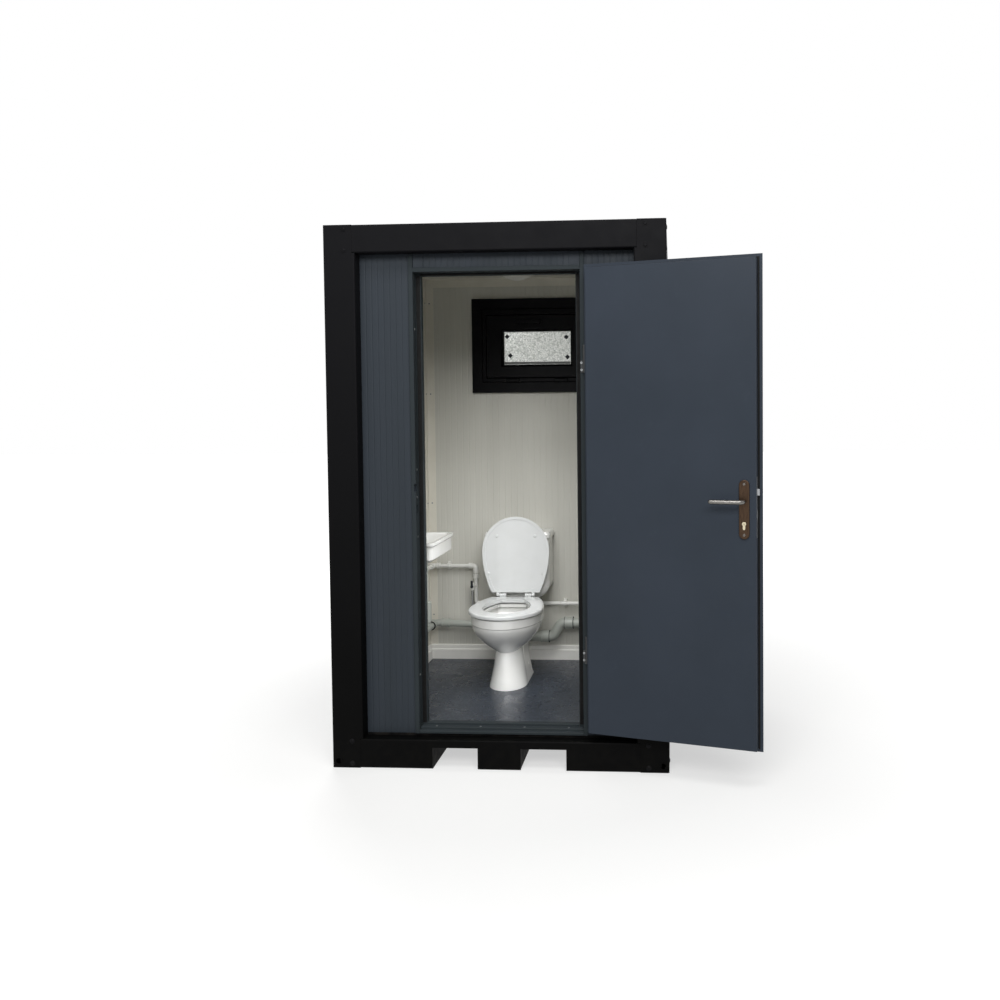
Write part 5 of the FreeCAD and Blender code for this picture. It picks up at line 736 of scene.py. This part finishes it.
def pipe_pieces(looks):
    """Ribs on the trap's nut, seal rings at the pipe sockets, caps on the hinge pins, the lamp's ring."""
    nut = ribbed_nut("nut_model", 0.0264, 0.022, 16)
    trap = Matrix.Translation((BASIN_X, BASIN_Y, NUT_Z))
    copies(nut, "trap_nut_ribs", [trap], looks["waste"], "cabin")
    small = [(19.4, 0), (25.4, 0), (25.4, 1.6), (22, 3.2), (19.4, 2.6), (19.4, 0)]
    large = [(28.4, 0), (34.4, 0), (34.4, 1.8), (31, 3.4), (28.4, 2.8), (28.4, 0)]
    lip = turned_form("small_lip_model", small, 36, hollow=True)
    wide = turned_form("large_lip_model", large, 36, hollow=True)
    spots = [pointing((WASTE_X, y, WASTE_Z), (0, side, 0)) for y, side in ((0.0065, 1), (0.366, -1))]
    copies(lip, "waste_socket_seal", spots, looks["rubber"], "cabin")
    sockets = ((0.069, 0.313, 1), (0.159, 0.391, -1), (0.205, 0.391, 1))
    spots = [pointing((x, SOIL_Y, z), (side, 0, 0)) for x, z, side in sockets]
    copies(wide, "soil_socket_seal", spots, looks["rubber"], "cabin")
    cap = turned_form("pin_cap_model", [(8, 0), (8, 1.6), (7, 3.0), (4.5, 3.9), (1.5, 4.2)], 24)
    door = about(HINGE_LINE, DOOR_ANGLE, "Z")
    tops = [door @ Matrix.Translation((*HINGE_LINE[:2], z + PIN_HALF)) for z in PIN_MIDDLES]
    copies(cap, "hinge_pin_cap", tops, looks["hinge"], "door")
    rim = [(107, 0), (116, 0), (116, -5), (112, -8), (107, -6), (107, 0)]
    ring = turned_form("lamp_ring_model", rim, 72, hollow=True)
    plate = Matrix.Translation(LAMP_PLATE)
    copies(ring, "lamp_retaining_ring", [plate], looks["trims"], "cabin")
    drop(nut, lip, wide, cap, ring)


def camera():
    """The photograph's view, with the picture's off-centre crop as lens shift."""
    yaw, pitch, roll = (math.radians(a) for a in (CAMERA_YAW, CAMERA_PITCH, CAMERA_ROLL))
    right = Vector((math.cos(yaw), math.sin(yaw), 0))
    ahead = Vector((-math.sin(yaw) * math.cos(pitch), math.cos(yaw) * math.cos(pitch), math.sin(pitch)))
    up = right.cross(ahead)
    rolled_right = right * math.cos(roll) + up * math.sin(roll)
    rolled_up = up * math.cos(roll) - right * math.sin(roll)
    lens = bpy.data.cameras.new("photo_camera")
    lens.sensor_width = SENSOR_MM
    lens.lens = FOCAL_PIXELS / PICTURE_PIXELS * SENSOR_MM
    lens.shift_x = 0.5 - PRINCIPAL_X / PICTURE_PIXELS
    lens.shift_y = PRINCIPAL_Y / PICTURE_PIXELS - 0.5
    lens.clip_end = 60.0
    eye = bpy.data.objects.new("photo_camera", lens)
    bpy.context.scene.collection.objects.link(eye)
    axes = Matrix((rolled_right, rolled_up, -ahead)).transposed().to_4x4()
    eye.matrix_world = Matrix.Translation(CAMERA_PLACE) @ axes
    bpy.context.scene.camera = eye


def area_light(name, place, target, width, height, watts, spread=180.0):
    """A plain rectangular lamp aimed at a target, its light fanned out within an angle in degrees."""
    lamp = bpy.data.lights.new(name, "AREA")
    lamp.shape = "RECTANGLE"
    lamp.size = width
    lamp.size_y = height
    lamp.energy = watts
    lamp.spread = math.radians(spread)
    holder = bpy.data.objects.new(name, lamp)
    bpy.context.scene.collection.objects.link(holder)
    aim = (Vector(target) - Vector(place)).to_track_quat("-Z", "Y")
    holder.matrix_world = Matrix.Translation(place) @ aim.to_matrix().to_4x4()


def seen_directly(tree):
    """One for rays from the camera, off gloss or through glass, and zero for the rest."""
    rays = add(tree, "ShaderNodeLightPath").outputs
    total = add(tree, MATH, {}, {0: rays["Is Camera Ray"], 1: rays["Is Glossy Ray"]})
    return add(tree, MATH, {"use_clamp": True}, {0: total, 1: rays["Is Transmission Ray"]})


def studio():
    """Soft light from the front and above, and white seen behind all."""
    world = bpy.data.worlds.new("studio_white")
    bpy.context.scene.world = world
    world.use_nodes = True
    tree = world.node_tree
    tree.nodes.clear()
    seen = seen_directly(tree)
    white = add(tree, "ShaderNodeBackground", {"Color": linear("#FFFFFF"), "Strength": 1.0})
    fill = add(tree, "ShaderNodeBackground", {"Color": linear("#F4F6FA"), "Strength": 0.105})
    mix = add(tree, "ShaderNodeMixShader", links={0: seen, 1: fill.outputs[0], 2: white.outputs[0]})
    add(tree, "ShaderNodeOutputWorld", links={"Surface": mix.outputs[0]})
    # Large soft lamps outside; the three fills inside the room stand for daylight through the doorway
    area_light("key_from_front", (0.9, -6.2, 4.6), (0.0, 0.0, 1.0), 6.0, 2.2, 285)
    area_light("sky_from_above_front", (0.9, -3.4, 6.6), (0.0, 0.0, 0.7), 4.5, 2.0, 165)
    area_light("doorway_fill", (0.12, -0.36, 1.62), (-0.14, 0.15, 0.10), 0.42, 0.22, 2.0, 116)
    area_light("basin_fill", (0.28, -0.40, 1.12), (-0.50, -0.05, 0.92), 0.2, 0.3, 0.65, 80)
    area_light("floor_fill", (0.14, -0.43, 0.38), (-0.10, 0.20, 0.17), 0.3, 0.08, 0.11, 50)
    area_light("back_rim", (-2.5, 4.5, 4.0), (0.0, 0.0, 1.2), 3.0, 3.0, 150)


def ground():
    """A wide pale floor that shows white to the camera but keeps the cabin's shadow."""
    bpy.ops.object.select_all(action="DESELECT")
    bpy.ops.mesh.primitive_plane_add(size=60.0, location=(0, 0, -0.001))
    floor = bpy.context.object
    floor.name = "pale_floor"
    material, tree, shader, place = finish("pale_studio_floor", "#B6B6B4", 0.8)
    patches = add(tree, NOISE, {"Scale": per_metre(900)}, {"Vector": place})
    tone = add(tree, MIX, {"data_type": "RGBA", 6: linear("#B8B8B6"), 7: linear("#B2B2B0")}, {0: patches})
    wire(tree, shader, tone)
    shader.inputs["Emission Color"].default_value = linear("#FFFFFF")
    distance = add(tree, "ShaderNodeVectorMath", {"operation": "LENGTH"}, {0: place}).outputs["Value"]
    band = {"From Min": 1.2, "From Max": 4.5, "To Min": 0.55, "To Max": 1.0}
    haze = add(tree, RANGE, band, {"Value": distance})
    shown = add(tree, MATH, {"operation": "MULTIPLY"}, {0: seen_directly(tree), 1: haze})
    tree.links.new(shown.outputs[0], shader.inputs["Emission Strength"])
    floor.data.materials.append(material)


looks = finishes()
dress_nodes(looks)
screws(looks)
door_seal(looks)
window_pieces(looks)
sanitary_pieces(looks)
pipe_pieces(looks)
camera()
studio()
ground()
view = bpy.context.scene.view_settings
view.view_transform = "Standard"
